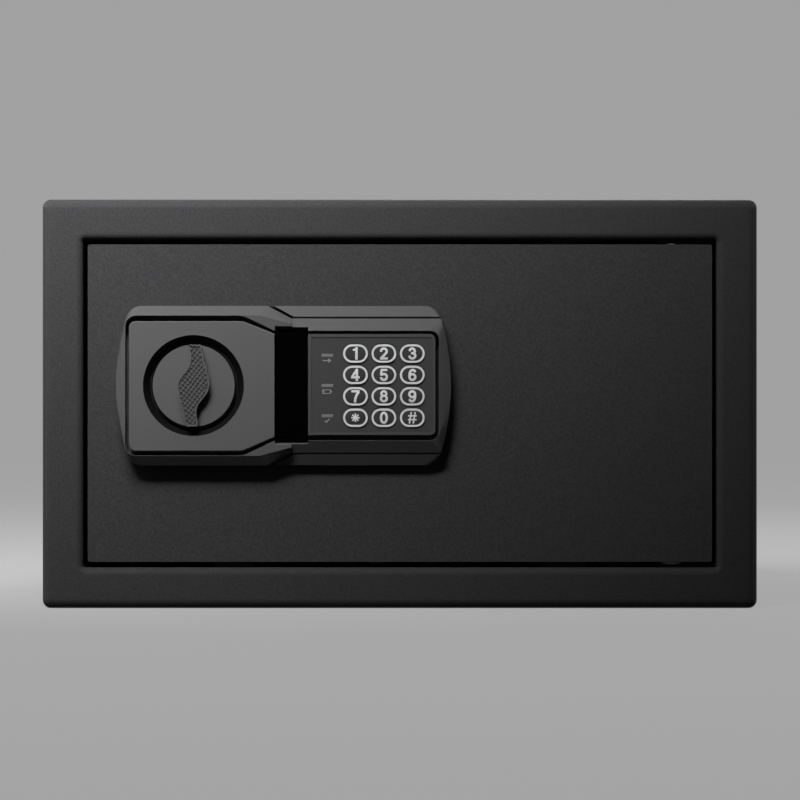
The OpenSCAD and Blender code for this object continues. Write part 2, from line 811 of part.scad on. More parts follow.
module keypad_key(i) {
    color([0.2, 0.2, 0.2]) difference() {
        union() {
            over_door(key_low, panel_face + key_proud) translate([key_u(i), key_v(i)]) pill(0);
            over_door(key_low, key_low + 1.2) translate([key_u(i), key_v(i)]) pill(key_flange);
        }
        over_door(key_low - 1, key_low + 0.5 + key_travel + 0.2)
            translate([key_u(i), key_v(i)]) circle(mat_stem_r + 0.5);
    }
}

// Knob

// The grip's outline is the same turned by half a turn, so half of its corners are listed
function turned(corners) = concat(corners, [for (c = corners) [-c.x, -c.y, c.z]]);
grip_drawn_r = 25.2;             // the disc's radius that the corners are drawn for
grip_corners = turned([[4.6, 25, 1], [10.7, -1.8, 12], [1.2, -13.2, 11], [3.1, -25.2, 1]]);
insert_corners = turned([[3.8, 24.1, 0.6], [9.7, -1.6, 11], [0.2, -13, 12], [2.1, -24.3, 0.6]]);

module grip_outline(corners) {
    s = knob_r / grip_drawn_r;
    polygon(rounded([for (c = corners) s * c], 8));
}

module knob() {
    color([0.17, 0.17, 0.18]) difference() {
        union() {
            over_door(disc_top - disc_t, disc_top) translate([knob_u, 0]) circle(knob_r);
            over_door(disc_top - 1, grip_top) translate([knob_u, 0]) grip_outline(grip_corners);
            over_door(1.5, disc_top - disc_t + 1) translate([knob_u, 0]) circle(hub_r);
        }
        over_door(grip_top - insert_t + 0.2, grip_top + 1)
            translate([knob_u, 0]) grip_outline(insert_corners);
        over_door(disc_top - disc_t, grip_top - insert_t - 1.6) translate([knob_u, 0]) difference() {
            grip_outline(insert_corners);
            circle(hub_r);
        }
        over_door(0, disc_top - 1.5) translate([knob_u, 0]) circle(spindle_r + fit);
        over_door(disc_top - disc_t - 1, disc_top - 2) translate([knob_u, 0]) difference() {
            circle(knob_r - 2);
            circle(hub_r);
        }
    }
}

module knob_insert() {
    color([0.12, 0.12, 0.12]) over_door(grip_top - insert_t + 0.2, grip_top - 0.2)
        translate([knob_u, 0]) grip_outline(insert_corners);
}

module knob_spindle() {
    color("silver") difference() {
        union() {
            rod_y(knob_x, lock_z, door_front - disc_top + 1.5, cam_y, spindle_r);
            rod_y(knob_x, lock_z, cam_y, cam_y + cam_t + 2.4, spindle_r - 1);
        }
        difference() {
            rod_y(knob_x, lock_z, cam_y + cam_t, cam_y + cam_t + 1.2, spindle_r);
            rod_y(knob_x, lock_z, cam_y + cam_t - 1, cam_y + cam_t + 2, spindle_r - 1.8);
        }
    }
}

module spindle_bush() {
    color("goldenrod") difference() {
        union() {
            rod_y(knob_x, lock_z, door_front, door_back, spindle_r + 2);
            rod_y(knob_x, lock_z, door_back, door_back + 2, spindle_r + 5);
        }
        rod_y(knob_x, lock_z, door_front - 1, door_back + 3, spindle_r + fit);
    }
}

// The drive pin stands up and to the hinge side with the bolts drawn
pin_at = [knob_x + crank_r * cos(45), lock_z + crank_r * sin(45)];

module drive_cam() {
    color("silver") difference() {
        union() {
            depth(cam_y, cam_y + cam_t) hull() {
                translate([knob_x, lock_z]) circle(spindle_r + 3.5);
                translate(pin_at) circle(drive_pin_r + 2.5);
            }
            rod_y(pin_at.x, pin_at.y, cam_y, carriage_y + carriage_t + 0.8, drive_pin_r);
        }
        rod_y(knob_x, lock_z, cam_y - 1, cam_y + cam_t + 1, spindle_r - 1 + fit);
    }
}

module cam_clip() {
    color("silver") difference() {
        rod_y(knob_x, lock_z, cam_y + cam_t + fit, cam_y + cam_t + 1.2 - fit, spindle_r + 1.5);
        rod_y(knob_x, lock_z, cam_y, cam_y + cam_t + 3, spindle_r - 1.8 + fit);
        depth(cam_y, cam_y + cam_t + 3) span(knob_x - spindle_r + 1.8, lock_z - 2 * spindle_r,
                                             knob_x + spindle_r - 1.8, lock_z);
    }
}

// Boltwork

// A slot for a pin of radius r at x, z that the carriage passes by its whole throw
module travel_slot(r) {
    translate([0, -r]) square([throw, 2 * r]);
    for (x = [0, throw]) translate([x, 0]) circle(r);
}

module bolt_carriage() {
    notch = plunger_r + 0.7;
    color("silver") difference() {
        union() {
            depth(carriage_y, carriage_y + carriage_t)
                span(flange_x + flange_t / 2, carriage_low, carriage_r, carriage_top);
            depth(bolt_y - bolt_r - 0.5, bolt_y + bolt_r)
                span(flange_x, lock_z - bolt_spacing / 2 - bolt_r, flange_x + flange_t,
                     lock_z + bolt_spacing / 2 + bolt_r);
        }
        for (s = [-1, 1])
            rod_x(bolt_y, lock_z + s * bolt_spacing / 2, flange_x - 1, flange_x + flange_t + 1,
                  tail_r + fit);
        depth(carriage_y - 1, carriage_y + carriage_t + 1) {
            stud_places() travel_slot(stud_r + slide_gap);
            for (x = [0, throw]) span(plunger_x - notch + x, carriage_top - plunger_drop - 0.5,
                                      plunger_x + notch + x, carriage_top + 1);
            span(pin_at.x - drive_pin_r - 0.6, pin_at.y - drive_pin_r - 0.6,
                 pin_at.x + drive_pin_r + 0.6, lock_z + crank_r + drive_pin_r + 0.6);
        }
    }
}

// A bolt: rod with a chamfered nose, and a tail riveted into the carriage
module locking_bolt(z) {
    nose = 1.5;
    color("silver") {
        translate([bolt_tip, bolt_y, z]) rotate([0, 90, 0])
            cylinder(h = nose, r1 = bolt_r - nose, r2 = bolt_r);
        rod_x(bolt_y, z, bolt_tip + nose, flange_x, bolt_r);
        rod_x(bolt_y, z, flange_x, flange_x + flange_t, tail_r);
        rod_x(bolt_y, z, flange_x + flange_t, flange_x + flange_t + 1.8, tail_r + 1.5);
    }
}

module bolt_upper() { locking_bolt(lock_z + bolt_spacing / 2); }
module bolt_lower() { locking_bolt(lock_z - bolt_spacing / 2); }

module guide_studs() {
    color("silver") {
        depth(door_back, carriage_y - 0.3) stud_places() circle(stud_r + 1.5);
        depth(carriage_y - 0.3, carriage_y + carriage_t + 0.3) stud_places() circle(stud_r);
        depth(carriage_y + carriage_t + 0.3, carriage_y + carriage_t + 1.3)
            stud_places() circle(stud_r + 2);
        depth(door_back - 3, door_back) stud_places() circle(stud_r - 1);
    }
}

module solenoid_frame() {
    w = 2 * coil_r + 7;
    reach = plunger_y + coil_r + 1;
    color("silver") difference() {
        union() {
            depth(door_back, door_back + frame_plate)
                span(plunger_x - w / 2, frame_z, plunger_x + w / 2, frame_z + frame_h);
            for (z = [frame_z, frame_z + frame_h - frame_plate])
                translate([plunger_x - w / 2, door_back, z]) cube([w, reach - door_back, frame_plate]);
        }
        rod_z(plunger_x, plunger_y, frame_z - 1, frame_z + frame_plate + 1, plunger_r + 0.4);
        solenoid_screws(door_back - 1, door_back + frame_plate + 1, small_screw_r + 0.3);
    }
}

module solenoid_coil() {
    color("darkred") difference() {
        rod_z(plunger_x, plunger_y, frame_z + frame_plate, frame_z + frame_h - frame_plate, coil_r);
        rod_z(plunger_x, plunger_y, frame_z, frame_z + frame_h - frame_plate - 5, plunger_r + 0.4);
    }
}

screw_r = 1.9;
screw_head_t = 2.4;

// Four screws hold the housing, two the solenoid
module plate_screws() {
    color("silver") {
        over_door(-door_t, floor_top - 2) screw_places() circle(screw_r);
        over_door(-door_t - screw_head_t, -door_t) screw_places() circle(2 * screw_r);
        solenoid_screws(door_front + 1.2, door_back + frame_plate, small_screw_r);
        solenoid_screws(door_back + frame_plate, door_back + frame_plate + 1.6, small_screw_r + 1.3);
    }
}

module solenoid_plunger() {
    color("silver") {
        rod_z(plunger_x, plunger_y, plunger_tip, frame_z + frame_h - frame_plate - 6, plunger_r);
        rod_z(plunger_x, plunger_y, collar_z, collar_z + collar_t, collar_r);
    }
}

module plunger_spring() {
    color("silver") difference() {
        rod_z(plunger_x, plunger_y, collar_z + collar_t, frame_z, plunger_r + 1.4);
        rod_z(plunger_x, plunger_y, collar_z, frame_z + 1, plunger_r + 0.5);
    }
}

// Emergency lock, behind the keyhole cover

module override_lock_body() {
    color("silver") difference() {
        union() {
            rod_y(override_x, lock_z, door_front - 2, door_front, override_r + 3);
            rod_y(override_x, lock_z, door_front - override_face, arm_y - 4, override_r);
        }
        rod_y(override_x, lock_z, door_front - override_face - 1, arm_y, plug_r + fit);
    }
}

module override_lock_nut() {
    color("silver") difference() {
        translate([override_x, door_back + nut_t, lock_z]) rotate([90, 0, 0])
            cylinder(h = nut_t, r = override_r + 4.5, $fn = 6);
        rod_y(override_x, lock_z, door_back - 1, door_back + nut_t + 1, override_r + fit);
    }
}

// The plug with the ring-shaped keyway of a tubular key
module override_plug() {
    face = door_front - override_face;
    color("silver") difference() {
        union() {
            rod_y(override_x, lock_z, face, arm_y, plug_r);
            rod_y(override_x, lock_z, arm_y, arm_y + arm_t + 1.5, stub_r);
        }
        difference() {
            rod_y(override_x, lock_z, face - 1, face + keyway_deep, plug_r - 1.1);
            rod_y(override_x, lock_z, face - 2, face + keyway_deep + 1, plug_r - 2.9);
        }
    }
}

module override_cam() {
    color("silver") translate([override_x, 0, lock_z]) rotate([0, 90 - arm_angle, 0]) difference() {
        union() {
            rod_y(0, 0, arm_y, arm_y + arm_t, override_r);
            depth(arm_y, arm_y + arm_t) span(0, -arm_half, arm_len, arm_half);
            rod_y(arm_len, 0, arm_y, arm_y + arm_t, arm_half);
        }
        rod_y(0, 0, arm_y - 1, arm_y + arm_t + 1, stub_r + fit);
    }
}

// The bare plate that hides the keyhole
cover_top = 15.5;
cover_sheet = 3;
cover_bevel = 0.9;
cover_half = slot_half - 2.8;
cover_rib = 26;

module key_cover() {
    color([0.03, 0.03, 0.03]) {
        hull() {
            over_door(cover_top - cover_sheet, cover_top - cover_bevel)
                span(slot_l + slide_gap, -cover_half, slot_r - slide_gap, cover_half);
            over_door(cover_top - eps, cover_top)
                span(slot_l + slide_gap + 0.6 * cover_bevel, cover_bevel - cover_half,
                     slot_r - slide_gap - 0.6 * cover_bevel, cover_half - cover_bevel);
        }
        over_door(floor_top + slide_gap, cover_top - cover_sheet + eps)
            for (v = [-cover_rib, cover_rib]) span(slot_l + 3, v - 1, slot_r - 3, v + 1);
    }
}

// Battery box, reset button and wiring

module battery_places() {
    for (k = [0 : 3]) translate([0, 0, battery_z + (k - 1.5) * cell_pitch]) children();
}

module battery_box() {
    low = cover_back - battery_deep;
    color([0.1, 0.1, 0.1]) difference() {
        union() {
            depth(low, cover_back) translate([battery_x, battery_z])
                square([battery_w, battery_h], center = true);
            depth(cover_y - 1.5, cover_y) translate([battery_x, battery_z])
                square([battery_w + 10, battery_h + 10], center = true);
        }
        depth(low + 1.5, cover_back + 1) translate([battery_x, battery_z])
            square([cell_len + 3, 4 * cell_pitch], center = true);
    }
}

module battery_cells() {
    color("steelblue") battery_places() {
        rod_x(cell_y, 0, battery_x - cell_len / 2, battery_x + cell_len / 2 - cell_cap, cell_r);
        rod_x(cell_y, 0, battery_x + cell_len / 2 - cell_cap, battery_x + cell_len / 2, 0.38 * cell_r);
    }
}

// Contact plates at both ends, with a spring at each cell's flat end
module battery_contacts() {
    reach = cell_len / 2 + 1.5;
    size = 1.55 * cell_r;
    color("silver") battery_places() {
        for (s = [-1, 1]) translate([battery_x + s * (reach - contact_t / 2), cell_y, 0])
            cube([contact_t, size, size], center = true);
        rod_x(cell_y, 0, battery_x - reach + contact_t, battery_x - cell_len / 2, cell_r / 2);
        rod_x(cell_y, 0, battery_x + cell_len / 2, battery_x + reach - contact_t, cell_r / 4);
    }
}

module battery_lid() {
    lid_t = 1.8;
    clip_h = 0.4 * battery_h;
    rib_h = 0.26 * battery_h;
    color([0.1, 0.1, 0.1]) difference() {
        union() {
            depth(cover_back + 0.1, cover_back + 0.1 + lid_t) translate([battery_x, battery_z])
                soft_rect(battery_w + 6, battery_h + 6, 3);
            for (s = [-1, 1]) depth(cover_back - 2, cover_back + 0.5)
                translate([battery_x + s * (cell_len / 2 + 0.5), battery_z])
                    square([1.4, clip_h], center = true);
        }
        for (k = [0 : 2])
            depth(cover_back + 0.1 + lid_t - 0.6, cover_back + lid_t + 1)
                translate([battery_x + battery_w / 2 - 3 - 3 * k, battery_z])
                    square([1.4, rib_h], center = true);
    }
}

module reset_switch() {
    color([0.1, 0.1, 0.1]) difference() {
        union() {
            rod_y(reset_x, reset_z, cover_y - 11, cover_y, reset_r + 3.5);
            rod_y(reset_x, reset_z, cover_y, cover_back + 1.2, reset_r + 1.9);
        }
        rod_y(reset_x, reset_z, cover_y - 8, cover_back + 2, reset_r + 0.2);
    }
}

module reset_button() {
    color("firebrick") rod_y(reset_x, reset_z, cover_y - 8 + reset_travel + 0.4, cover_back + 4, reset_r);
}

module cable_grommet() {
    x = lock_x + cable_u;
    color([0.08, 0.08, 0.08]) difference() {
        union() {
            rod_y(x, lock_z, door_front - 2, door_back + 2, cable_r - fit);
            rod_y(x, lock_z, door_back, door_back + 2, cable_r + 2);
        }
        rod_y(x, lock_z, door_front - 3, door_back + 3, cable_r - 2.5);
    }
}

// Leads from the keypad board, through the grommet, along the back of the door plate

function cut_corners(p) = [p[0], for (i = [0 : len(p) - 2])
    each [0.75 * p[i] + 0.25 * p[i + 1], 0.25 * p[i] + 0.75 * p[i + 1]], p[len(p) - 1]];

function ring(p, t, r, n) =
    let (a = unit(cross(t, [0.31, 0.53, 0.79])), b = cross(t, a))
    [for (k = [0 : n - 1]) p + r * (cos(360 * k / n) * a + sin(360 * k / n) * b)];

module lead(route, r, n = 8) {
    path = cut_corners(cut_corners(route));
    last = len(path) - 1;
    points = [for (i = [0 : last])
        each ring(path[i], unit(path[min(i + 1, last)] - path[max(i - 1, 0)]), r, n)];
    sides = [for (i = [0 : last - 1], k = [0 : n - 1])
        [i * n + k, i * n + (k + 1) % n, (i + 1) * n + (k + 1) % n, (i + 1) * n + k]];
    ends = [[for (k = [n - 1 : -1 : 0]) k], [for (k = [0 : n - 1]) last * n + k]];
    polyhedron(points, concat(sides, ends));
}

lead_r = 1.1;
lead_gap = 2.2;                   // half the spacing of the leads in the grommet
lead_back = 5;                    // how far behind the door plate they run
lead_bend = 6;

module wiring_leads() {
    x = lock_x + cable_u;
    y = door_back + lead_back;
    start = door_front - floor_top;
    straight = door_back + 2.4;
    box_x = battery_x - battery_w / 2;
    box_y = cover_back - battery_deep + 6;
    box_z = battery_z - cell_pitch + 1;
    color("firebrick") lead([
        [x - lead_gap, start, lock_z + lead_gap], [x - lead_gap, straight, lock_z + lead_gap],
        [x - lead_gap, y, lock_z + lead_gap], [x - lead_bend, y, frame_z],
        [plunger_x + 2 * coil_r + 5, y, frame_z + frame_h - 7],
        [plunger_x + coil_r + lead_bend, plunger_y, frame_z + frame_h - 11],
        [plunger_x + coil_r + 0.2, plunger_y, frame_z + frame_h - 11]], lead_r);
    color("black") lead([
        [x + lead_gap, start, lock_z - lead_gap], [x + lead_gap, straight, lock_z - lead_gap],
        [x + lead_gap, y, lock_z - lead_gap], [x + 3 * lead_bend, y, lock_z - 2 * lead_bend],
        [box_x - 3 * lead_bend, y + 4, box_z], [box_x - lead_bend, box_y, box_z],
        [box_x - 0.1, box_y, box_z]], lead_r);
    color("gray") lead([
        [x + lead_gap, start, lock_z + lead_gap], [x + lead_gap, straight, lock_z + lead_gap],
        [x + lead_gap, y, lock_z + lead_gap], [x + 3 * lead_bend, y, reset_z - 16],
        [reset_x - 3 * lead_bend, y + 2, reset_z], [reset_x, y + lead_bend, reset_z],
        [reset_x, cover_y - 11.1, reset_z]], lead_r);
}

cabinet_wrap();
back_panel();
strike_bar();
door_stops();
hinge_bracket_upper();
hinge_bracket_lower();
hinge_pins();
hinge_washer();
floor_mat();
door_plate();
door_pan();
hinge_knuckles();
inner_cover();
cover_screws();
fascia_housing();
knob_plate();
keypad_panel();
keypad_board();
key_mat();
status_lenses();
spindle_bush();
guide_studs();
solenoid_frame();
solenoid_coil();
plate_screws();
override_lock_body();
override_lock_nut();
battery_box();
battery_cells();
battery_contacts();
reset_switch();
cable_grommet();
wiring_leads();
knob();
knob_insert();
knob_spindle();
drive_cam();
cam_clip();
bolt_carriage();
bolt_upper();
bolt_lower();
solenoid_plunger();
plunger_spring();
override_plug();
override_cam();
key_cover();
battery_lid();
reset_button();
for (i = [0 : 11])
    keypad_key(i);
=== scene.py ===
import json
import math

import bmesh
import bpy
import numpy as np
from mathutils import Matrix, Vector


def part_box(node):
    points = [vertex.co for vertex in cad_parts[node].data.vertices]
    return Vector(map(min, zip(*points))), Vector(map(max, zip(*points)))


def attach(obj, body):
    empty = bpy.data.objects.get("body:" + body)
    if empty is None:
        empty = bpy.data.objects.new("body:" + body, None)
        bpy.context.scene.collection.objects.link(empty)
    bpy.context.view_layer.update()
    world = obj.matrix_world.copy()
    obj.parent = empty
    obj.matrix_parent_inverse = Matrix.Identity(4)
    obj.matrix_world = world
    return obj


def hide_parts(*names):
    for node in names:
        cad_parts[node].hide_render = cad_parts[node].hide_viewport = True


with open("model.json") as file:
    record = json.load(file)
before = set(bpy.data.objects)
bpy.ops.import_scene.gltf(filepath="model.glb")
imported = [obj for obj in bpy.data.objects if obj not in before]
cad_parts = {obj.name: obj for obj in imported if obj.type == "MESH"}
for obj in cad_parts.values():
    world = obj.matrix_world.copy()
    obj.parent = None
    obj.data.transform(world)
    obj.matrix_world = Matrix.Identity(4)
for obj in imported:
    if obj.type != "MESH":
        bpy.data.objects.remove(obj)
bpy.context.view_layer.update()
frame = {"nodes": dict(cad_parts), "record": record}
nodes = frame["nodes"]
print("frame loaded:", len(nodes), "CAD nodes")

# The lock's middle and the door's face, from the housing's own box
housingLow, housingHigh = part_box("fascia_housing")
lockX = (housingLow.x + housingHigh.x) / 2
lockZ = (housingLow.z + housingHigh.z) / 2
doorFace = housingHigh.y
bodyOf = {n: b for b, members in frame["record"]["behaviour"]["bodies"].items() for n in members}


def overDoor(u, v, height):
    # A place right of and above the lock's middle, and this far in front of the door's face
    return Vector((lockX + u, doorFace - height, lockZ + v))


# Shader node groups

def newGroup(name, inputs, outputs):
    group = bpy.data.node_groups.new(name, "ShaderNodeTree")
    for label, kind, value in inputs:
        socket = group.interface.new_socket(label, in_out="INPUT", socket_type="NodeSocket" + kind)
        socket.default_value = value
    for label, kind in outputs:
        group.interface.new_socket(label, in_out="OUTPUT", socket_type="NodeSocket" + kind)
    start = group.nodes.new("NodeGroupInput")
    end = group.nodes.new("NodeGroupOutput")
    return group, start, end


def add(tree, kind, settings=None, **values):
    node = tree.nodes.new(kind)
    for key, value in (settings or {}).items():
        setattr(node, key, value)
    for key, value in values.items():
        node.inputs[int(key[1:])].default_value = value
    return node


def maths(tree, operation, **values):
    return add(tree, "ShaderNodeMath", {"operation": operation}, **values)


def noise(tree, **values):
    return add(tree, "ShaderNodeTexNoise", {"noise_dimensions": "3D"}, **values)


def join(tree, *links):
    # Each link is a node and its output, then another node and its input
    for source, out, target, into in links:
        tree.links.new(source.outputs[out], target.inputs[into])


def grainGroup():
    # A fine, even grain: height for a bump, and masks for small changes of colour and gloss
    inputs = [("Size", "Float", 0.001), ("Patch Size", "Float", 0.06)]
    outputs = [("Height", "Float"), ("Mottle", "Float"), ("Patch", "Float")]
    group, start, end = newGroup("fineGrain", inputs, outputs)
    where = add(group, "ShaderNodeTexCoord")
    perSize = maths(group, "DIVIDE", _0=1.0)
    perPatch = maths(group, "DIVIDE", _0=1.0)
    fine = noise(group, _3=3.0, _4=0.55)
    cells = add(group, "ShaderNodeTexVoronoi", {"feature": "SMOOTH_F1"})
    patches = noise(group, _3=2.0, _4=0.5)
    blend = maths(group, "MULTIPLY_ADD", _1=0.45)
    join(group, (start, 0, perSize, 1), (start, 1, perPatch, 1), (where, "Object", fine, "Vector"),
         (where, "Object", cells, "Vector"), (where, "Object", patches, "Vector"),
         (perSize, 0, fine, "Scale"), (perSize, 0, cells, "Scale"), (perPatch, 0, patches, "Scale"),
         (cells, "Distance", blend, 0), (fine, 0, blend, 2), (blend, 0, end, "Height"),
         (fine, 0, end, "Mottle"), (patches, 0, end, "Patch"))
    return group


def brushGroup():
    # Fine lines that run along one axis, as on drawn or turned metal
    inputs = [("Line", "Float", 0.0002), ("Stretch", "Vector", (1, 1, 1))]
    outputs = [("Height", "Float"), ("Streak", "Float")]
    group, start, end = newGroup("brushedLines", inputs, outputs)
    where = add(group, "ShaderNodeTexCoord")
    squeeze = add(group, "ShaderNodeVectorMath", {"operation": "MULTIPLY"})
    perLine = maths(group, "DIVIDE", _0=1.0)
    lines = noise(group, _3=4.0, _4=0.6)
    soft = noise(group, _2=60.0, _3=2.0, _4=0.5)
    join(group, (where, "Object", squeeze, 0), (start, 1, squeeze, 1), (start, 0, perLine, 1),
         (perLine, 0, lines, "Scale"), (squeeze, 0, lines, "Vector"), (squeeze, 0, soft, "Vector"),
         (lines, 0, end, "Height"), (soft, 0, end, "Streak"))
    return group


def spangleGroup():
    # The crystal patches of zinc plating, each of its own tone
    inputs = [("Patch Size", "Float", 0.004)]
    group, start, end = newGroup("zincSpangle", inputs, [("Tone", "Float")])
    where = add(group, "ShaderNodeTexCoord")
    perPatch = maths(group, "DIVIDE", _0=1.0)
    patches = add(group, "ShaderNodeTexVoronoi", {"feature": "F1"})
    tone = add(group, "ShaderNodeSeparateColor")
    join(group, (start, 0, perPatch, 1), (where, "Object", patches, "Vector"),
         (perPatch, 0, patches, "Scale"), (patches, "Color", tone, 0), (tone, 0, end, "Tone"))
    return group


fineGrain = grainGroup()
brushedLines = brushGroup()
zincSpangle = spangleGroup()


# Materials

def newMaterial(name, color, roughness, metallic=0.0, **extra):
    material = bpy.data.materials.new(name)
    material.use_nodes = True
    tree = material.node_tree
    shader = tree.nodes["Principled BSDF"]
    shader.inputs["Base Color"].default_value = (*color, 1)
    shader.inputs["Roughness"].default_value = roughness
    shader.inputs["Metallic"].default_value = metallic
    for key, value in extra.items():
        shader.inputs[key.replace("_", " ")].default_value = value
    return material, tree, shader


def placeGroup(tree, group, **values):
    node = tree.nodes.new("ShaderNodeGroup")
    node.node_tree = group
    for key, value in values.items():
        node.inputs[key.replace("_", " ")].default_value = value
    return node


def spread(tree, source, out, low, high, start=0.3, end=0.7):
    node = add(tree, "ShaderNodeMapRange", {"clamp": True}, _1=start, _2=end, _3=low, _4=high)
    join(tree, (source, out, node, 0))
    return node


def twoTone(tree, source, out, dark, light, start=0.3, end=0.7):
    mix = add(tree, "ShaderNodeValToRGB")
    mix.color_ramp.elements[0].position = start
    mix.color_ramp.elements[1].position = end
    mix.color_ramp.elements[0].color = (*dark, 1)
    mix.color_ramp.elements[1].color = (*light, 1)
    join(tree, (source, out, mix, 0))
    return mix


def bump(tree, source, out, shader, depth):
    node = add(tree, "ShaderNodeBump", None, _0=1.0, _1=depth)
    join(tree, (source, out, node, "Height"), (node, 0, shader, "Normal"))


def grainMaterial(name, color, roughness, size, depth, vary=0.12, patch=0.06, shine=0.06, **extra):
    material, tree, shader = newMaterial(name, color, roughness, **extra)
    grain = placeGroup(tree, fineGrain, Size=size, Patch_Size=patch)
    dark = [c * (1 - vary) for c in color]
    light = [c * (1 + vary) for c in color]
    colors = twoTone(tree, grain, "Mottle", dark, light)
    gloss = spread(tree, grain, "Patch", roughness - shine, roughness + shine)
    join(tree, (colors, 0, shader, "Base Color"), (gloss, 0, shader, "Roughness"))
    bump(tree, grain, "Height", shader, depth)
    return material


def lineMaterial(name, color, roughness, line, stretch, depth=0.00001, vary=0.08, shine=(0.07, 0.08)):
    # Turned or drawn metal
    material, tree, shader = newMaterial(name, color, roughness, 1.0)
    lines = placeGroup(tree, brushedLines, Line=line, Stretch=stretch)
    dark = [c * (1 - vary) for c in color]
    colors = twoTone(tree, lines, "Streak", dark, color)
    gloss = spread(tree, lines, "Height", roughness - shine[0], roughness + shine[1])
    join(tree, (colors, 0, shader, "Base Color"), (gloss, 0, shader, "Roughness"))
    bump(tree, lines, "Height", shader, depth)
    return material


def platedMaterial(name, color, roughness, patch, worn=0.86, shine=(0.06, 0.09), depth=0.000008):
    # Zinc plate: patches of slightly different tone and gloss over a fine grain
    material, tree, shader = newMaterial(name, color, roughness, 1.0)
    patches = placeGroup(tree, zincSpangle, Patch_Size=patch)
    grain = placeGroup(tree, fineGrain, Size=0.0006, Patch_Size=0.02)
    dark = [c * worn for c in color]
    colors = twoTone(tree, patches, "Tone", dark, color, 0.1, 0.9)
    gloss = spread(tree, grain, "Patch", roughness - shine[0], roughness + shine[1])
    join(tree, (colors, 0, shader, "Base Color"), (gloss, 0, shader, "Roughness"))
    bump(tree, grain, "Height", shader, depth)
    return material


def grey(value, blue=0.0):
    return value, value, value + blue


def moulded(name, color, roughness, size, depth, vary):
    # Dull moulded plastic, or print on it
    return grainMaterial(name, color, roughness, size, depth, vary=vary, Specular_IOR_Level=0.05)


# After the colour come roughness, grain size, grain depth and how far the tone varies, and for metals
# roughness and the lines' width and direction
powderCoat = grainMaterial("powderCoat", grey(0.031, 0.001), 0.42, 0.0011, 0.00016, vary=0.2, shine=0.03,
                           Specular_IOR_Level=0.035)
housingPlastic = moulded("housingPlastic", grey(0.062, 0.001), 0.5, 0.00035, 0.000015, 0.05)
# A lighter copy of the housing plastic for the knob plate and knob: painted light on their front faces
platePlastic = moulded("platePlastic", grey(0.072, 0.001), 0.5, 0.0003, 0.000015, 0.04)
gripPlastic = moulded("gripPlastic", grey(0.05, 0.001), 0.45, 0.0004, 0.000015, 0.08)
keypadPlastic = moulded("keypadPlastic", grey(0.05, 0.001), 0.5, 0.0003, 0.000012, 0.05)
overlayFilm = moulded("overlayFilm", grey(0.04, 0.0005), 0.48, 0.0007, 0.000022, 0.06)
keyPlastic = moulded("keyPlastic", grey(0.032, 0.001), 0.42, 0.0004, 0.000012, 0.06)
keyPrint = moulded("keyPrint", grey(0.48), 0.5, 0.0005, 0.000005, 0.04)
markPrint = moulded("markPrint", grey(0.2), 0.5, 0.0005, 0.000005, 0.05)
lensPlastic = moulded("lensPlastic", grey(0.13), 0.25, 0.0008, 0.00001, 0.15)
glossBlack = grainMaterial("glossBlack", grey(0.0005), 0.12, 0.004, 0.000003, vary=0.1, shine=0.03,
                           Specular_IOR_Level=0.008)
# Near-black painted shade, for the knob's dish and the deep flats beside the cover
dishBlack = moulded("dishBlack", grey(0.005), 0.4, 0.0006, 0.000008, 0.1)
batteryPlastic = moulded("batteryPlastic", grey(0.03, 0.001), 0.5, 0.0006, 0.00003, 0.1)
redPlastic = grainMaterial("redPlastic", (0.5, 0.03, 0.02), 0.32, 0.0006, 0.000006, vary=0.06)
nylon = grainMaterial("nylon", (0.7, 0.69, 0.64), 0.45, 0.0008, 0.00001, vary=0.04)
blackRubber = grainMaterial("blackRubber", grey(0.025), 0.75, 0.0006, 0.00004, vary=0.15)
greySilicone = grainMaterial("greySilicone", grey(0.4), 0.6, 0.0006, 0.00002, vary=0.05)
redSleeve = grainMaterial("redSleeve", (0.35, 0.03, 0.02), 0.45, 0.0012, 0.00001, vary=0.1)
blackSleeve = grainMaterial("blackSleeve", grey(0.02), 0.45, 0.0012, 0.00001, vary=0.1)
greySleeve = grainMaterial("greySleeve", grey(0.25), 0.45, 0.0012, 0.00001, vary=0.1)
boardGreen = grainMaterial("boardGreen", (0.02, 0.11, 0.05), 0.3, 0.0015, 0.00002, vary=0.4)
zincSteel = platedMaterial("zincSteel", (0.56, 0.56, 0.55), 0.34, 0.005)
turnedSteel = lineMaterial("turnedSteel", (0.62, 0.62, 0.61), 0.24, 0.00025, (1, 0.05, 0.05))
plungerSteel = lineMaterial("plungerSteel", (0.6, 0.6, 0.59), 0.28, 0.00025, (0.05, 0.05, 1))
lockSteel = lineMaterial("lockSteel", (0.6, 0.6, 0.6), 0.22, 0.00025, (0.05, 1, 0.05))
turnedBrass = lineMaterial("turnedBrass", (0.66, 0.48, 0.2), 0.28, 0.00025, (0.05, 1, 0.05))
coilWire = lineMaterial("coilWire", (0.42, 0.13, 0.04), 0.38, 0.0004, (0.05, 0.05, 1), depth=0.0001,
                        vary=0.3)
cellSleeve = lineMaterial("cellSleeve", (0.1, 0.16, 0.25), 0.35, 0.001, (0.05, 1, 1))

# Material and slot in one, for rows of pieces
coated = powderCoat, "powder_coat"
steel = zincSteel, "steel"
hardSteel = lockSteel, "bolt_steel"


# Felt

feltSizes = {"color": (0.045, 0.045, 0.048), "fiber": 0.0004, "along": 0.35, "tuft": 8, "tufted": 0.6,
             "dark": 0.6, "light": 1.5, "depth": 0.0005}


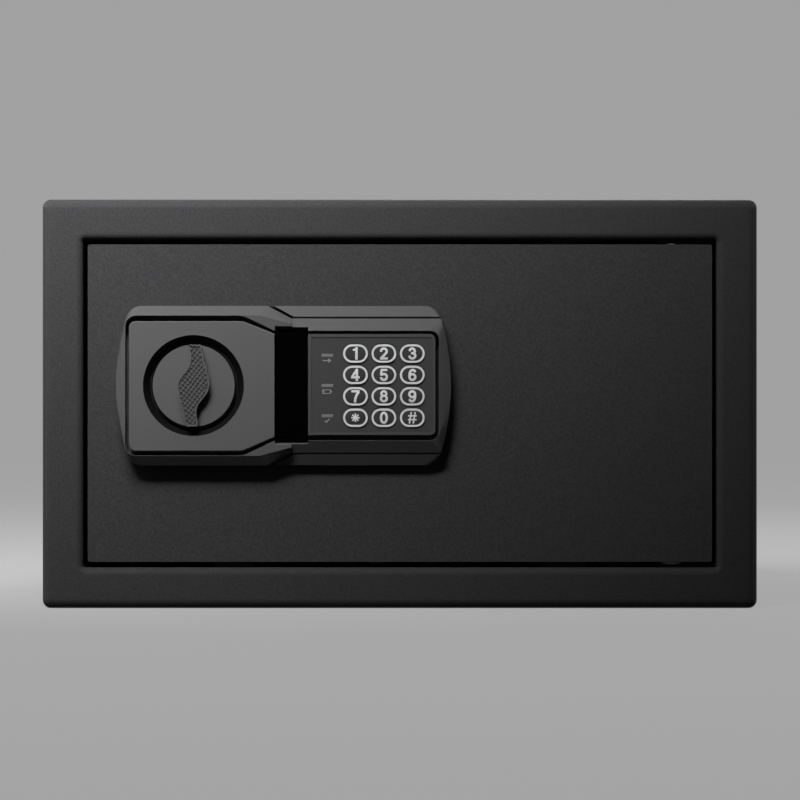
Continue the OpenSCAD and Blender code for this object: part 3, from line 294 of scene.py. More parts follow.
def feltMaterial(name, f):
    # Needle felt: matted fibres, lighter and darker tufts, and a soft sheen
    material, tree, shader = newMaterial(name, f["color"], 0.95, Sheen_Weight=0.2, Sheen_Roughness=0.6,
                                         Specular_IOR_Level=0.1)
    fine = placeGroup(tree, brushedLines, Line=f["fiber"], Stretch=(1.0, f["along"], 1.0))
    across = placeGroup(tree, brushedLines, Line=f["fiber"], Stretch=(f["along"], 1.0, 1.0))
    tufts = placeGroup(tree, fineGrain, Size=f["fiber"] * f["tuft"], Patch_Size=0.05)
    both = maths(tree, "MAXIMUM")
    height = maths(tree, "MULTIPLY_ADD", _1=f["tufted"])
    dark = [c * f["dark"] for c in f["color"]]
    light = [c * f["light"] for c in f["color"]]
    colors = twoTone(tree, both, 0, dark, light, 0.4, 0.75)
    join(tree, (fine, "Height", both, 0), (across, "Height", both, 1), (tufts, "Height", height, 0),
         (both, 0, height, 2), (colors, 0, shader, "Base Color"))
    bump(tree, height, 0, shader, f["depth"])
    return material


matFelt = feltMaterial("matFelt", feltSizes)
print("materials ready")


# Helpers for pieces

def linked(name, mesh):
    piece = bpy.data.objects.new(name, mesh)
    bpy.context.scene.collection.objects.link(piece)
    return piece


def baked(piece):
    # The piece with its modifiers worked into a plain mesh
    bpy.context.view_layer.update()
    graph = bpy.context.evaluated_depsgraph_get()
    evaluated = piece.evaluated_get(graph)
    mesh = bpy.data.meshes.new_from_object(evaluated, preserve_all_data_layers=True, depsgraph=graph)
    piece.modifiers.clear()
    piece.data = mesh
    return piece


def newPiece(name, bm, materials, smoothAngle=35, even=True):
    mesh = bpy.data.meshes.new(name)
    bm.to_mesh(mesh)
    bm.free()
    piece = linked(name, mesh)
    for material in materials if isinstance(materials, (list, tuple)) else [materials]:
        mesh.materials.append(material)
    mesh.polygons.foreach_set("use_smooth", [True] * len(mesh.polygons))
    mesh.set_sharp_from_angle(angle=math.radians(smoothAngle))
    if even:   # flat faces stay flat beside their rounded edges
        weighted = piece.modifiers.new("evenShading", "WEIGHTED_NORMAL")
        weighted.keep_sharp = True
        weighted.weight = 90
        baked(piece)
    return piece


def seat(piece, nodeName, replace=True):
    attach(piece, bodyOf[nodeName])
    if replace:
        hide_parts(nodeName)
    return piece


mergeSizes = {"distance": 0.000002, "flatAngle": 0.6}


def mergedSolid(nodeName):
    # The CAD solid's surface with its loose triangles joined and its flat faces whole
    bm = bmesh.new()
    bm.from_mesh(nodes[nodeName].data)
    bmesh.ops.remove_doubles(bm, verts=bm.verts, dist=mergeSizes["distance"])
    bmesh.ops.dissolve_limit(bm, angle_limit=math.radians(mergeSizes["flatAngle"]), verts=bm.verts,
                             edges=bm.edges)
    return bm


def breakEdges(bm, angle, width, segments):
    sharp = [e for e in bm.edges if e.is_manifold and e.calc_face_angle(0) > math.radians(angle)]
    bmesh.ops.bevel(bm, geom=sharp, offset=width, offset_type="OFFSET", segments=segments, profile=0.5,
                    affect="EDGES", clamp_overlap=True)


def softCopy(nodeName, name, materials, slot, bevel, segments=2, angle=32, smoothAngle=38, paint=None,
             shape=None):
    # The CAD solid with its sharp edges broken
    bm = mergedSolid(nodeName)
    if shape:
        shape(bm)
    if paint:
        for face in bm.faces:
            face.material_index = paint(face)
    if bevel:
        breakEdges(bm, angle, bevel, segments)
    return seat(newPiece(name, bm, materials, smoothAngle), nodeName)


def softCopies(sizes, rows):
    # Each row holds node, name, material, slot, the edge's name among the sizes, and at times other values
    for nodeName, name, material, slot, edge, *extra in rows:
        softCopy(nodeName, name, material, slot, sizes[edge], **(extra[0] if extra else {}))


def arcPath(cx, cy, rx, ry, start, end, steps=28):
    points = []
    for k in range(steps + 1):
        a = math.radians(start + (end - start) * k / steps)
        points.append((cx + rx * math.cos(a), cy + ry * math.sin(a)))
    if abs(end - start) == 360:
        points[-1] = points[0]
    return points


def dress(nodeName, material):
    # The CAD node itself stays, in this material
    mesh = nodes[nodeName].data
    mesh.materials.clear()
    mesh.materials.append(material)


def facesFront(face):
    return face.normal.y < -0.99


def shapeTree(name, inputs):
    # A Geometry Nodes tree with its two end nodes, and the identifiers of its named inputs
    tree = bpy.data.node_groups.new(name, "GeometryNodeTree")
    tree.interface.new_socket("Geometry", in_out="INPUT", socket_type="NodeSocketGeometry")
    sockets = {}
    for label, kind in inputs.items():
        socket = tree.interface.new_socket(label, in_out="INPUT", socket_type="NodeSocket" + kind)
        sockets[label] = socket.identifier
    tree.interface.new_socket("Geometry", in_out="OUTPUT", socket_type="NodeSocketGeometry")
    return tree, sockets, tree.nodes.new("NodeGroupInput"), tree.nodes.new("NodeGroupOutput")


def endTree(tree, start, place, end):
    # The instances made real, in the material that the tree is given
    real = add(tree, "GeometryNodeRealizeInstances")
    paint = add(tree, "GeometryNodeSetMaterial")
    join(tree, (place, "Instances", real, "Geometry"), (real, "Geometry", paint, "Geometry"),
         (start, "Material", paint, "Material"), (paint, "Geometry", end, "Geometry"))


def grow(piece, name, tree, sockets, values):
    # Runs a tree on a piece and keeps what comes out as a plain mesh
    modifier = piece.modifiers.new(name, "NODES")
    modifier.node_group = tree
    for label, value in values.items():
        modifier[sockets[label]] = value
    baked(piece)


# Cabinet wrap: its walls roll round into the front frame, and the frame into the lip

wrapSizes = {"wall": 0.002, "corner": 0.005, "frontBend": 0.0058, "frame": 0.0245, "lipBend": 0.0046,
             "lipDeep": 0.009, "lipCorner": 0.0065, "innerCorner": 0.0015, "innerBend": 0.003,
             "holeRadius": 0.0055, "holeX": 0.13, "holeY": 0.1, "holeDeep": 0.02, "steps": 7,
             "cornerShare": 0.6, "leastCorner": 0.002}


def roundedLoop(halfX, halfZ, middleZ, radius, y, steps=8):
    points = []
    for sideX, sideZ, start in ((1, -1, -90), (1, 1, 0), (-1, 1, 90), (-1, -1, 180)):
        x, z = sideX * (halfX - radius), middleZ + sideZ * (halfZ - radius)
        points += arcPath(x, z, radius, radius, start, start + 90, steps)
    return [Vector((x, y, z)) for x, z in points]


def cutBy(bm, cutter):
    # The first shape less the second
    mesh, tool = bpy.data.meshes.new("shape"), bpy.data.meshes.new("cutter")
    bm.to_mesh(mesh)
    cutter.to_mesh(tool)
    cutter.free()
    piece, knife = linked("shape", mesh), linked("cutter", tool)
    cut = piece.modifiers.new("cut", "BOOLEAN")
    cut.operation, cut.solver, cut.object = "DIFFERENCE", "EXACT", knife
    baked(piece)
    bm.clear()
    bm.from_mesh(piece.data)
    bpy.data.objects.remove(piece)
    bpy.data.objects.remove(knife)
    return bm


def cabinetWrap():
    low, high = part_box("cabinet_wrap")
    w = wrapSizes
    halfX, halfZ, midZ = (high.x - low.x) / 2, (high.z - low.z) / 2, (high.z + low.z) / 2
    openX, openZ = halfX - w["frame"], halfZ - w["frame"]
    loops = [roundedLoop(halfX, halfZ, midZ, w["corner"], high.y)]
    for k in range(w["steps"] + 1):   # round the front edge
        turn = math.pi / 2 * k / w["steps"]
        drop = w["frontBend"] * (1 - math.cos(turn))
        corner = max(w["corner"] - drop * w["cornerShare"], w["leastCorner"])
        deep = low.y + w["frontBend"] * (1 - math.sin(turn))
        loops.append(roundedLoop(halfX - drop, halfZ - drop, midZ, corner, deep))
    for k in range(w["steps"] + 1):   # and into the lip
        turn = math.pi / 2 * k / w["steps"]
        wide = w["lipBend"] * (1 - math.sin(turn))
        corner = w["innerCorner"] + (w["lipCorner"] - w["innerCorner"]) * wide / w["lipBend"]
        deep = low.y + w["lipBend"] * (1 - math.cos(turn))
        loops.append(roundedLoop(openX + wide, openZ + wide, midZ, corner, deep))
    wall, bend = w["wall"], w["innerBend"]
    inX, inZ, backX, backZ = halfX - wall, halfZ - wall, openX + wall, openZ + wall
    for x, z, radius, y in ((openX, openZ, w["innerCorner"], w["lipDeep"]),
                            (backX, backZ, bend, w["lipDeep"]),
                            (backX, backZ, bend, wall + bend),
                            (backX + bend, backZ + bend, w["corner"], wall),
                            (inX - bend, inZ - bend, bend, wall), (inX, inZ, bend, wall + bend)):
        loops.append(roundedLoop(x, z, midZ, radius, low.y + y))
    loops.append(roundedLoop(inX, inZ, midZ, bend, high.y))
    bm = bmesh.new()
    loopStack(bm, loops, closeEnds=False)
    holes = bmesh.new()
    for x in (-w["holeX"], w["holeX"]):
        for y in (-w["holeY"], w["holeY"]):
            bmesh.ops.create_cone(holes, cap_ends=True, segments=32, radius1=w["holeRadius"],
                                  radius2=w["holeRadius"], depth=w["holeDeep"],
                                  matrix=Matrix.Translation((x, y, low.z)))
    seat(newPiece("cabinetWrap", cutBy(bm, holes), powderCoat, 40), "cabinet_wrap")


def loopStack(bm, loops, closeEnds=True):
    # A skin over a stack of loops, closed at both ends or joined into a ring
    rows = [[bm.verts.new(p) for p in loop] for loop in loops]
    pairs = list(zip(rows, rows[1:])) if closeEnds else list(zip(rows, rows[1:] + rows[:1]))
    for a, b in pairs:
        for i in range(len(a)):
            j = (i + 1) % len(a)
            bm.faces.new((a[i], a[j], b[j], b[i]))
    if closeEnds:
        bm.faces.new(rows[0][::-1])
        bm.faces.new(rows[-1])
    bmesh.ops.recalc_face_normals(bm, faces=bm.faces)


# Cabinet and door

cabinetSizes = {"edge": 0.0003, "plateEdge": 0.0011, "sheetEdge": 0.0002, "washerEdge": 0.0001}
cabinetWrap()
softCopies(cabinetSizes, (
    ("back_panel", "backPanel", *coated, "sheetEdge", {"angle": 50}),
    ("strike_bar", "strikeBar", *coated, "edge"),
    ("door_stops", "doorStops", *coated, "edge"),
    ("hinge_bracket_upper", "upperBracket", *coated, "edge"),
    ("hinge_bracket_lower", "lowerBracket", *coated, "edge"),
    ("hinge_knuckles", "hingeKnuckles", *coated, "edge"),
    ("hinge_pins", "hingePins", *steel, "edge"),
    ("hinge_washer", "hingeWasher", nylon, "nylon", "washerEdge"),
    ("door_plate", "doorPlate", *coated, "plateEdge", {"segments": 3}),
    ("door_pan", "doorPan", *coated, "sheetEdge"),
    ("inner_cover", "innerCover", *coated, "sheetEdge"),
))
print("cabinet and door made")


# Floor mat

matSizes = {"cell": 0.0045, "edge": 0.0007, "rimAngle": 50, "wave": 0.00018, "waveTurns": (41, 23, 37, 17),
            "outerBand": 0.001, "oneHole": 0.03, "leastHole": 0.001}


def feltMat():
    low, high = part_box("floor_mat")
    holes = sorted({(round(v.co.x, 5), round(v.co.y, 5)) for v in nodes["floor_mat"].data.vertices
                    if min(v.co.x - low.x, high.x - v.co.x, v.co.y - low.y, high.y - v.co.y)
                    > matSizes["outerBand"]})
    spots = []
    for x, y in holes:   # the corners round one hole lie close together
        for spot in spots:
            if math.dist((x, y), spot[0]) < matSizes["oneHole"]:
                spot.append((x, y))
                break
        else:
            spots.append([(x, y)])
    centres = [Vector(np.mean(spot, axis=0)) for spot in spots]
    radius = max(math.dist(spots[0][0], centres[0]), matSizes["leastHole"])
    across = round((high.x - low.x) / matSizes["cell"])
    along = round((high.y - low.y) / matSizes["cell"])
    bm = bmesh.new()
    bmesh.ops.create_grid(bm, x_segments=across, y_segments=along, size=0.5)
    for v in bm.verts:
        v.co.x = low.x + (v.co.x + 0.5) * (high.x - low.x)
        v.co.y = low.y + (v.co.y + 0.5) * (high.y - low.y)
        v.co.z = low.z
    inside = [f for f in bm.faces if any((f.calc_center_median().xy - c).length < radius for c in centres)]
    bmesh.ops.delete(bm, geom=inside, context="FACES")
    for c in centres:   # the cells round a hole close in on its circle
        for v in bm.verts:
            away = v.co.xy - c
            if v.is_boundary and away.length < radius + 2 * matSizes["cell"]:
                v.co.xy = c + away.normalized() * radius
    top = bmesh.ops.extrude_face_region(bm, geom=list(bm.faces))["geom"]
    a, b, c, d = matSizes["waveTurns"]
    for v in [g for g in top if isinstance(g, bmesh.types.BMVert)]:
        swell = math.sin(v.co.x * a + v.co.y * b) * math.sin(v.co.y * c - v.co.x * d)
        v.co.z = high.z - matSizes["wave"] * (1 + swell) / 2
    bmesh.ops.recalc_face_normals(bm, faces=bm.faces)
    breakEdges(bm, matSizes["rimAngle"], matSizes["edge"], 2)
    mat = seat(newPiece("feltMat", bm, matFelt, 60, even=False), "floor_mat")


feltMat()
print("mat made")


# Lock housing, knob and keyhole cover

lockSizes = {"dishRadius": 0.0303, "housingEdge": 0.0005, "plateEdge": 0.0004, "knobEdge": 0.0003,
             "coverEdge": 0.0004, "panelEdge": 0.0004, "lensEdge": 0.0002, "seatHeight": 0.0048,
             "discRadius": 0.0257, "discTrim": 0.0007, "plateGroove": {"left": 0.0008, "top": 0.0009},
             "panelGroove": {"right": 0.0009, "bottom": 0.0013}, "grooveReach": 0.004, "panelRim": 0.0005,
             "sameLevel": 0.0003, "sameOverlay": 0.00005}
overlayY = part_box("keypad_panel")[0].y + lockSizes["panelRim"]   # the overlay lies behind the panel's rim
knobMiddle = (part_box("knob_insert")[0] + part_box("knob_insert")[1]) / 2
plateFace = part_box("knob_plate")[0].y


# Painted shade: the faces down in the knob's dish get the near-black material, standing in for the shade in
# the recess
def paintDishShade(face):
    centre = face.calc_center_median()
    away = math.hypot(centre.x - knobMiddle.x, centre.z - knobMiddle.z)
    return 1 if away < lockSizes["dishRadius"] and centre.y > plateFace + lockSizes["sameLevel"] else 0


def onOverlay(face):
    off = abs(face.calc_center_median().y - overlayY)
    return 1 if facesFront(face) and off < lockSizes["sameOverlay"] else 0


def paintSeatShade(face):
    # Painted shadow: the deep flats beside the cover's ends lie in shade, and are painted near-black like the
    # cover for it
    off = abs(doorFace - face.calc_center_median().y - lockSizes["seatHeight"])
    return 1 if facesFront(face) and off < lockSizes["sameLevel"] else 0


def trimDisc(bm):
    # The disc's edge a little inside the CAD one, for the dark ring round it
    for v in bm.verts:
        away = math.hypot(v.co.x - knobMiddle.x, v.co.z - knobMiddle.z)
        if away > lockSizes["discRadius"] - 2 * lockSizes["discTrim"]:
            share = (away - lockSizes["discTrim"]) / away
            v.co.x = knobMiddle.x + (v.co.x - knobMiddle.x) * share
            v.co.z = knobMiddle.z + (v.co.z - knobMiddle.z) * share


def drawIn(bm, left=0.0, right=0.0, bottom=0.0, top=0.0):
    # Moves a plate's outer edges in, so that the groove round it is as wide as a moulded one's
    reach = lockSizes["grooveReach"]
    xs, zs = [v.co.x for v in bm.verts], [v.co.z for v in bm.verts]
    lowX, highX, lowZ, highZ = min(xs), max(xs), min(zs), max(zs)
    for v in bm.verts:
        v.co.x += left * max(0, 1 - (v.co.x - lowX) / reach) - right * max(0, 1 - (highX - v.co.x) / reach)
        v.co.z += bottom * max(0, 1 - (v.co.z - lowZ) / reach) - top * max(0, 1 - (highZ - v.co.z) / reach)


softCopies(lockSizes, (
    ("fascia_housing", "lockHousing", [housingPlastic, dishBlack], "housing_plastic", "housingEdge",
     {"segments": 3, "paint": paintSeatShade}),
    ("knob_plate", "knobPlate", [platePlastic, dishBlack], "housing_plastic", "plateEdge",
     {"segments": 3, "paint": paintDishShade, "shape": lambda bm: drawIn(bm, **lockSizes["plateGroove"])}),
    ("knob", "turnKnob", platePlastic, "housing_plastic", "knobEdge", {"shape": trimDisc}),
    ("key_cover", "keyholeCover", glossBlack, "gloss_black", "coverEdge", {"segments": 3}),
    ("keypad_panel", "keypadPanel", [keypadPlastic, overlayFilm], "keypad_plastic", "panelEdge",
     {"paint": onOverlay, "shape": lambda bm: drawIn(bm, **lockSizes["panelGroove"])}),
    ("status_lenses", "statusLenses", lensPlastic, "lens", "lensEdge"),
))
print("lock housing made")


# Grip insert: rows of small pyramids on a flat base

insertSizes = {"pitch": 0.0021, "rise": 0.0007, "turn": 52, "gap": 0.0003, "margin": 0.0004,
               "baseDrop": 0.0006, "frontBand": 0.0001, "field": 0.08, "rayLong": 0.05, "budWide": 0.66}


def knurlTree():
    s = insertSizes
    tree, sockets, start, end = shapeTree("gripKnurl", {
        "Pitch": "Float", "Rise": "Float", "Turn": "Float", "Middle": "Vector", "Material": "Material"})
    grid = add(tree, "GeometryNodeMeshGrid", None, _0=s["field"], _1=s["field"])
    span = maths(tree, "DIVIDE", _0=s["field"])
    count = add(tree, "FunctionNodeFloatToInt", {"rounding_mode": "ROUND"})
    spin = add(tree, "ShaderNodeCombineXYZ", None, _0=math.radians(90))
    lay = add(tree, "GeometryNodeTransform")
    tilt = add(tree, "GeometryNodeTransform")
    stand = add(tree, "ShaderNodeCombineXYZ")
    ray = add(tree, "GeometryNodeRaycast", {"data_type": "FLOAT"})
    ray.inputs["Ray Direction"].default_value = (0, 1, 0)
    ray.inputs["Ray Length"].default_value = s["rayLong"]
    bud = add(tree, "GeometryNodeMeshCone", {"fill_type": "NGON"})
    bud.inputs["Vertices"].default_value = 4
    bud.inputs["Radius Top"].default_value = 0.0
    wide = maths(tree, "MULTIPLY", _1=s["budWide"])
    place = add(tree, "GeometryNodeInstanceOnPoints")
    tip = add(tree, "ShaderNodeCombineXYZ", None, _0=math.radians(90))
    diagonal = maths(tree, "ADD", _1=math.radians(45))
    negative = maths(tree, "MULTIPLY", _1=-1.0)
    join(tree, (start, "Pitch", span, 1), (span, 0, count, 0), (count, 0, grid, "Vertices X"),
         (count, 0, grid, "Vertices Y"), (grid, "Mesh", lay, "Geometry"), (spin, 0, lay, "Rotation"),
         (start, "Turn", negative, 0), (negative, 0, stand, "Y"), (lay, 0, tilt, "Geometry"),
         (stand, 0, tilt, "Rotation"), (start, "Middle", tilt, "Translation"),
         (start, "Geometry", ray, "Target Geometry"), (tilt, 0, place, "Points"),
         (ray, "Is Hit", place, "Selection"), (start, "Pitch", wide, 0), (wide, 0, bud, "Radius Bottom"),
         (start, "Rise", bud, "Depth"), (bud, "Mesh", place, "Instance"), (start, "Turn", diagonal, 0),
         (negative, 0, tip, "Y"), (tip, 0, place, "Rotation"))
    endTree(tree, start, place, end)
    return tree, sockets


def frontFace(bm, depth):
    # The largest face of a merged plate that looks forwards, in front of this depth
    front = [f for f in bm.faces if facesFront(f) and f.calc_center_median().y < depth]
    return max(front, key=lambda f: f.calc_area())


def shrinkOutline(bm, amount, upright=0.3, apart=0.01):
    # Every corner moves in from both of its side walls, which are upright and face apart
    moves = {}
    for v in bm.verts:
        walls = []
        for face in v.link_faces:
            if abs(face.normal.y) < upright and all((face.normal - w).length > apart for w in walls):
                walls.append(face.normal.copy())
        if len(walls) > 1:
            moves[v] = (walls[0] + walls[1]) / (1 + walls[0].dot(walls[1]))
        elif walls:
            moves[v] = walls[0]
    for v, out in moves.items():
        v.co -= out * amount


def gripInsert():
    s = insertSizes
    low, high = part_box("knob_insert")
    bm = mergedSolid("knob_insert")
    bm.normal_update()
    shrinkOutline(bm, s["gap"])
    for v in bm.verts:
        if v.co.y < low.y + s["frontBand"]:
            v.co.y += s["baseDrop"]
    corners = [v.co.copy() for v in frontFace(bm, high.y).verts]
    seat(newPiece("gripInsert", bm, gripPlastic), "knob_insert")
    flat = bmesh.new()
    shape = flat.faces.new([flat.verts.new(c) for c in corners])
    bmesh.ops.inset_region(flat, faces=[shape], thickness=s["margin"] + s["pitch"] / 3)
    outer = [f for f in flat.faces if f is not shape and any(v.is_boundary for v in f.verts)]
    bmesh.ops.delete(flat, geom=outer, context="FACES")
    knurl = newPiece("gripKnurl", flat, gripPlastic, even=False)
    middle = Vector(((low.x + high.x) / 2, low.y + s["baseDrop"], (low.z + high.z) / 2))
    grow(knurl, "knurl", *knurlTree(), {
        "Pitch": s["pitch"], "Rise": s["rise"], "Turn": math.radians(s["turn"]), "Middle": list(middle),
        "Material": gripPlastic})
    seat(knurl, "knob_insert", replace=False)


gripInsert()
print("grip made")


# Printed shapes, drawn by how far a place lies outside their strokes

def strokeGap(x, y, path, half, flatEnds=True):
    # Distance from a stroke along a list of corners, below zero inside it
    best = np.full(x.shape, 1e9)
    for i in range(len(path) - 1):
        (ax, ay), (bx, by) = path[i], path[i + 1]
        long = math.dist(path[i], path[i + 1])
        dx, dy = (bx - ax) / long, (by - ay) / long
        along = (x - ax) * dx + (y - ay) * dy
        side = np.abs((y - ay) * dx - (x - ax) * dy)
        short, past = np.maximum(-along, 0), np.maximum(along - long, 0)
        gap = np.hypot(np.maximum(short, past), side) - half
        closed = path[0] == path[-1]
        if flatEnds and not closed and i == 0:
            gap = np.where(short > 0, np.maximum(side - half, short), gap)
        if flatEnds and not closed and i == len(path) - 2:
            gap = np.where(past > 0, np.maximum(side - half, past), gap)
        best = np.minimum(best, gap)
    return best


def inkPiece(name, strokes, reach, place, material, nodeName, step=0.00011, thick=0.00003):
    # The cells of a fine grid inside the strokes, cut along their edge and given the print's thickness.
    # strokes are (path, half width) in millimetres, and place gives the surface's point for a flat one.
    nx, ny = [2 * math.ceil(r / step) + 1 for r in reach]
    xs = (np.arange(nx) - nx // 2) * step
    ys = (np.arange(ny) - ny // 2) * step
    gridX, gridY = np.meshgrid(xs, ys, indexing="ij")
    gap = np.full(gridX.shape, 1e9)
    for path, half in strokes:
        gap = np.minimum(gap, strokeGap(gridX * 1000, gridY * 1000, path, half))
    least = 0.004   # no crossing comes nearer to a grid corner, so no sliver is made
    gap = np.where(np.abs(gap) < least, np.where(gap < 0, -least, least), gap)
    bm = bmesh.new()
    made = {}

    def corner(i, j):
        if (i, j) not in made:
            made[i, j] = bm.verts.new(place(xs[i], ys[j], thick))
        return made[i, j]

    def crossing(i, j, k, l):
        key = (i, j, k, l) if (i, j) < (k, l) else (k, l, i, j)
        if key not in made:
            share = gap[i, j] / (gap[i, j] - gap[k, l])
            x = xs[i] + (xs[k] - xs[i]) * share
            y = ys[j] + (ys[l] - ys[j]) * share
            made[key] = bm.verts.new(place(x, y, thick))
        return made[key]

    wet = gap < 0
    touched = wet[:-1, :-1] | wet[1:, :-1] | wet[:-1, 1:] | wet[1:, 1:]
    for i, j in np.argwhere(touched):
        ring = [(i, j), (i + 1, j), (i + 1, j + 1), (i, j + 1)]
        face = []
        for n in range(4):
            here, after = ring[n], ring[(n + 1) % 4]
            if wet[here]:
                face.append(corner(*here))
            if wet[here] != wet[after]:
                face.append(crossing(*here, *after))
        if len(face) > 2:
            bm.faces.new(face)
    back = bmesh.ops.extrude_face_region(bm, geom=list(bm.faces))["geom"]
    for v in [g for g in back if isinstance(g, bmesh.types.BMVert)]:
        v.co.y += thick
    bmesh.ops.recalc_face_normals(bm, faces=bm.faces)
    return seat(newPiece(name, bm, material, even=False), nodeName, replace=False)


# Keys: a domed cap inside a flat printed ring, with its digit on the dome

keySizes = {"width": 0.015, "height": 0.0112, "flange": 0.0006, "flangeThick": 0.0012, "edge": 0.00015,
            "ring": 0.00128, "ringInset": 0.0001, "ringThick": 0.00003, "step": 0.00018, "dome": 0.00042,
            "hollow": 0.0032, "hollowFlat": 0.0019, "hollowDeep": 0.0017, "hollowMiddle": 0.0005, "steps": 16,
            "slope": 0.00006, "printGap": 0.00005, "domeShares": (0.96, 0.85, 0.7, 0.5, 0.3, 0.12),
            "digitReach": (0.0029, 0.0039)}


def pillLoop(cx, cz, y, radius, flat):
    steps = keySizes["steps"]
    points = arcPath(cx + flat, cz, radius, radius, -90, 90, steps)
    points += arcPath(cx - flat, cz, radius, radius, 90, 270, steps)
    return [Vector((x, y, z)) for x, z in points]


def domeRise(u, v, flat, inner):
    # How far the dome stands over the flat ring
    away = math.hypot(max(abs(u) - flat, 0), v) / inner
    return keySizes["step"] + keySizes["dome"] * (1 - min(away, 1) ** 2)


def keyCap(key, nodeName):
    s = keySizes
    low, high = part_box(nodeName)
    cx, cz = (low.x + high.x) / 2, (low.z + high.z) / 2
    radius = s["height"] / 2
    flat = s["width"] / 2 - radius
    inner = radius - s["ring"] - s["ringInset"]
    top, under = low.y, high.y
    deep, shoulder, edge = under - s["hollowDeep"], under - s["flangeThick"], s["edge"]
    profile = [(s["hollowMiddle"], deep, s["hollowFlat"]),
               (s["hollow"], deep, s["hollowFlat"]),
               (s["hollow"], under, s["hollowFlat"]),
               (radius + s["flange"], under, flat), (radius + s["flange"], shoulder, flat),
               (radius, shoulder, flat), (radius, top + edge, flat),
               (radius - edge * 0.3, top + edge * 0.3, flat), (radius - edge, top, flat),
               (inner + s["slope"], top, flat), (inner, top - s["step"] * 0.4, flat)]
    profile += [(inner * share, top - s["step"] - s["dome"] * (1 - share ** 2), flat)
                for share in s["domeShares"]]
    bm = bmesh.new()
    loopStack(bm, [pillLoop(cx, cz, y, r, f) for r, y, f in profile])
    seat(newPiece("keyCap" + key, bm, keyPlastic, 40), nodeName)
    printOut = radius - s["ringInset"]
    printIn = printOut - s["ring"] + s["printGap"]
    raised = top - s["ringThick"]
    ring = bmesh.new()
    loopStack(ring, [pillLoop(cx, cz, top, printOut, flat), pillLoop(cx, cz, raised, printOut, flat),
                     pillLoop(cx, cz, raised, printIn, flat), pillLoop(cx, cz, top, printIn, flat)],
              closeEnds=False)
    seat(newPiece("keyRing" + key, ring, keyPrint), nodeName, replace=False)
    return lambda u, v, lift: Vector((cx + u, top - domeRise(u, v, flat, inner) - lift, cz + v))


# Strokes of the digits and signs in millimetres, about the key's middle
digitStrokes = {
    "1": [([(0.62, -3.65), (0.62, 3.65)], 0.74),
          ([(-1.55, 2.12), (-0.7, 2.2), (0.1, 2.75), (0.5, 3.4)], 0.5)],
    "2": [(arcPath(0.0, 1.35, 1.7, 1.62, 178, -30) + [(0.1, -1.15), (-1.5, -2.6)], 0.7),
          ([(-2.3, -2.98), (2.38, -2.98)], 0.67)],
    "3": [(arcPath(-0.05, 1.42, 1.55, 1.55, 168, -80), 0.68),
          (arcPath(0.0, -1.25, 1.75, 1.72, 82, -170), 0.7),
          ([(-0.75, 0.17), (0.3, 0.17)], 0.6)],
    "4": [([(0.85, -3.65), (0.85, 3.65)], 0.72), ([(-2.55, -1.4), (2.5, -1.4)], 0.65),
          ([(-2.05, -1.2), (0.75, 3.05)], 0.64)],
    "5": [([(-1.55, 3.0), (2.05, 3.0)], 0.65), ([(-1.3, 3.3), (-1.68, -0.2)], 0.64),
          (arcPath(0.0, -1.2, 1.78, 1.76, 145, -168), 0.7)],
    "6": [(arcPath(0.05, -1.25, 1.72, 1.72, 0, 360), 0.7), (arcPath(0.25, 0.0, 1.92, 2.97, 42, 195), 0.68)],
    "7": [([(-2.35, 3.0), (2.35, 3.0)], 0.65),
          ([(2.0, 2.75), (0.75, 0.9), (0.0, -1.2), (-0.35, -3.65)], 0.72)],
    "8": [(arcPath(0.0, 1.6, 1.48, 1.38, 0, 360), 0.66), (arcPath(0.0, -1.3, 1.75, 1.68, 0, 360), 0.7)],
    "9": [(arcPath(-0.05, 1.25, 1.72, 1.72, 0, 360), 0.7), (arcPath(-0.25, 0.0, 1.92, 2.97, 222, 375), 0.68)],
    "0": [(arcPath(0.0, 0.0, 1.75, 2.97, 0, 360), 0.7)],
    "Star": [([(-2.5 * math.cos(a), -2.5 * math.sin(a)), (2.5 * math.cos(a), 2.5 * math.sin(a))], 0.42)
             for a in (math.radians(45 * k) for k in range(4))],
    "Hash": [([(-1.75, -3.4), (-0.55, 3.4)], 0.45), ([(0.55, -3.4), (1.75, 3.4)], 0.45),
             ([(-2.5, 1.15), (2.6, 1.15)], 0.42), ([(-2.6, -1.15), (2.5, -1.15)], 0.42)],
}
for key, strokes in digitStrokes.items():
    nodeName = "key_" + key.lower()
    inkPiece("keyDigit" + key, strokes, keySizes["digitReach"], keyCap(key, nodeName), keyPrint, nodeName)
print("keys made")


# Small signs under the status lights, in place of words

signSizes = {"u": 0.0262, "drop": (-0.0031, -0.0036, -0.0029), "pitch": 0.0181, "reach": (0.0032, 0.0016)}
signStrokes = {
    "ArrowSign": [([(-2.6, 0.0), (1.4, 0.0)], 0.3), ([(0.7, 1.0), (2.2, 0.0), (0.7, -1.0)], 0.3)],
    "BatterySign": [([(-2.6, -1.1), (2.0, -1.1), (2.0, 1.1), (-2.6, 1.1), (-2.6, -1.1)], 0.22),
                    ([(2.6, -0.45), (2.6, 0.45)], 0.3), ([(-1.9, -0.6), (-1.9, 0.6)], 0.3)],
    "TickSign": [([(-1.3, 0.0), (-0.4, -0.9), (1.5, 1.1)], 0.32)],
}
for k, (name, strokes) in enumerate(signStrokes.items()):
    signV = (1 - k) * signSizes["pitch"] + signSizes["drop"][k]

    def onPanel(u, v, lift, middle=signV):
        return overDoor(signSizes["u"] + u, middle + v, doorFace - overlayY + lift)
    inkPiece("status" + name, strokes, signSizes["reach"], onPanel, markPrint, "keypad_panel")
print("signs made")


# Cover screws: pan heads with a cross recess, set at their own angles

screwSizes = {"headRadius": 0.0038, "shankRadius": 0.0019, "recessLong": 0.0046, "recessWide": 0.0009,
              "recessDeep": 0.0011, "seed": 7, "steps": 28, "skin": 0.00001, "smoothAngle": 35,
              "crown": ((1, 0.3), (0.93, 0.62), (0.75, 0.86), (0.45, 0.98), (0.12, 1))}


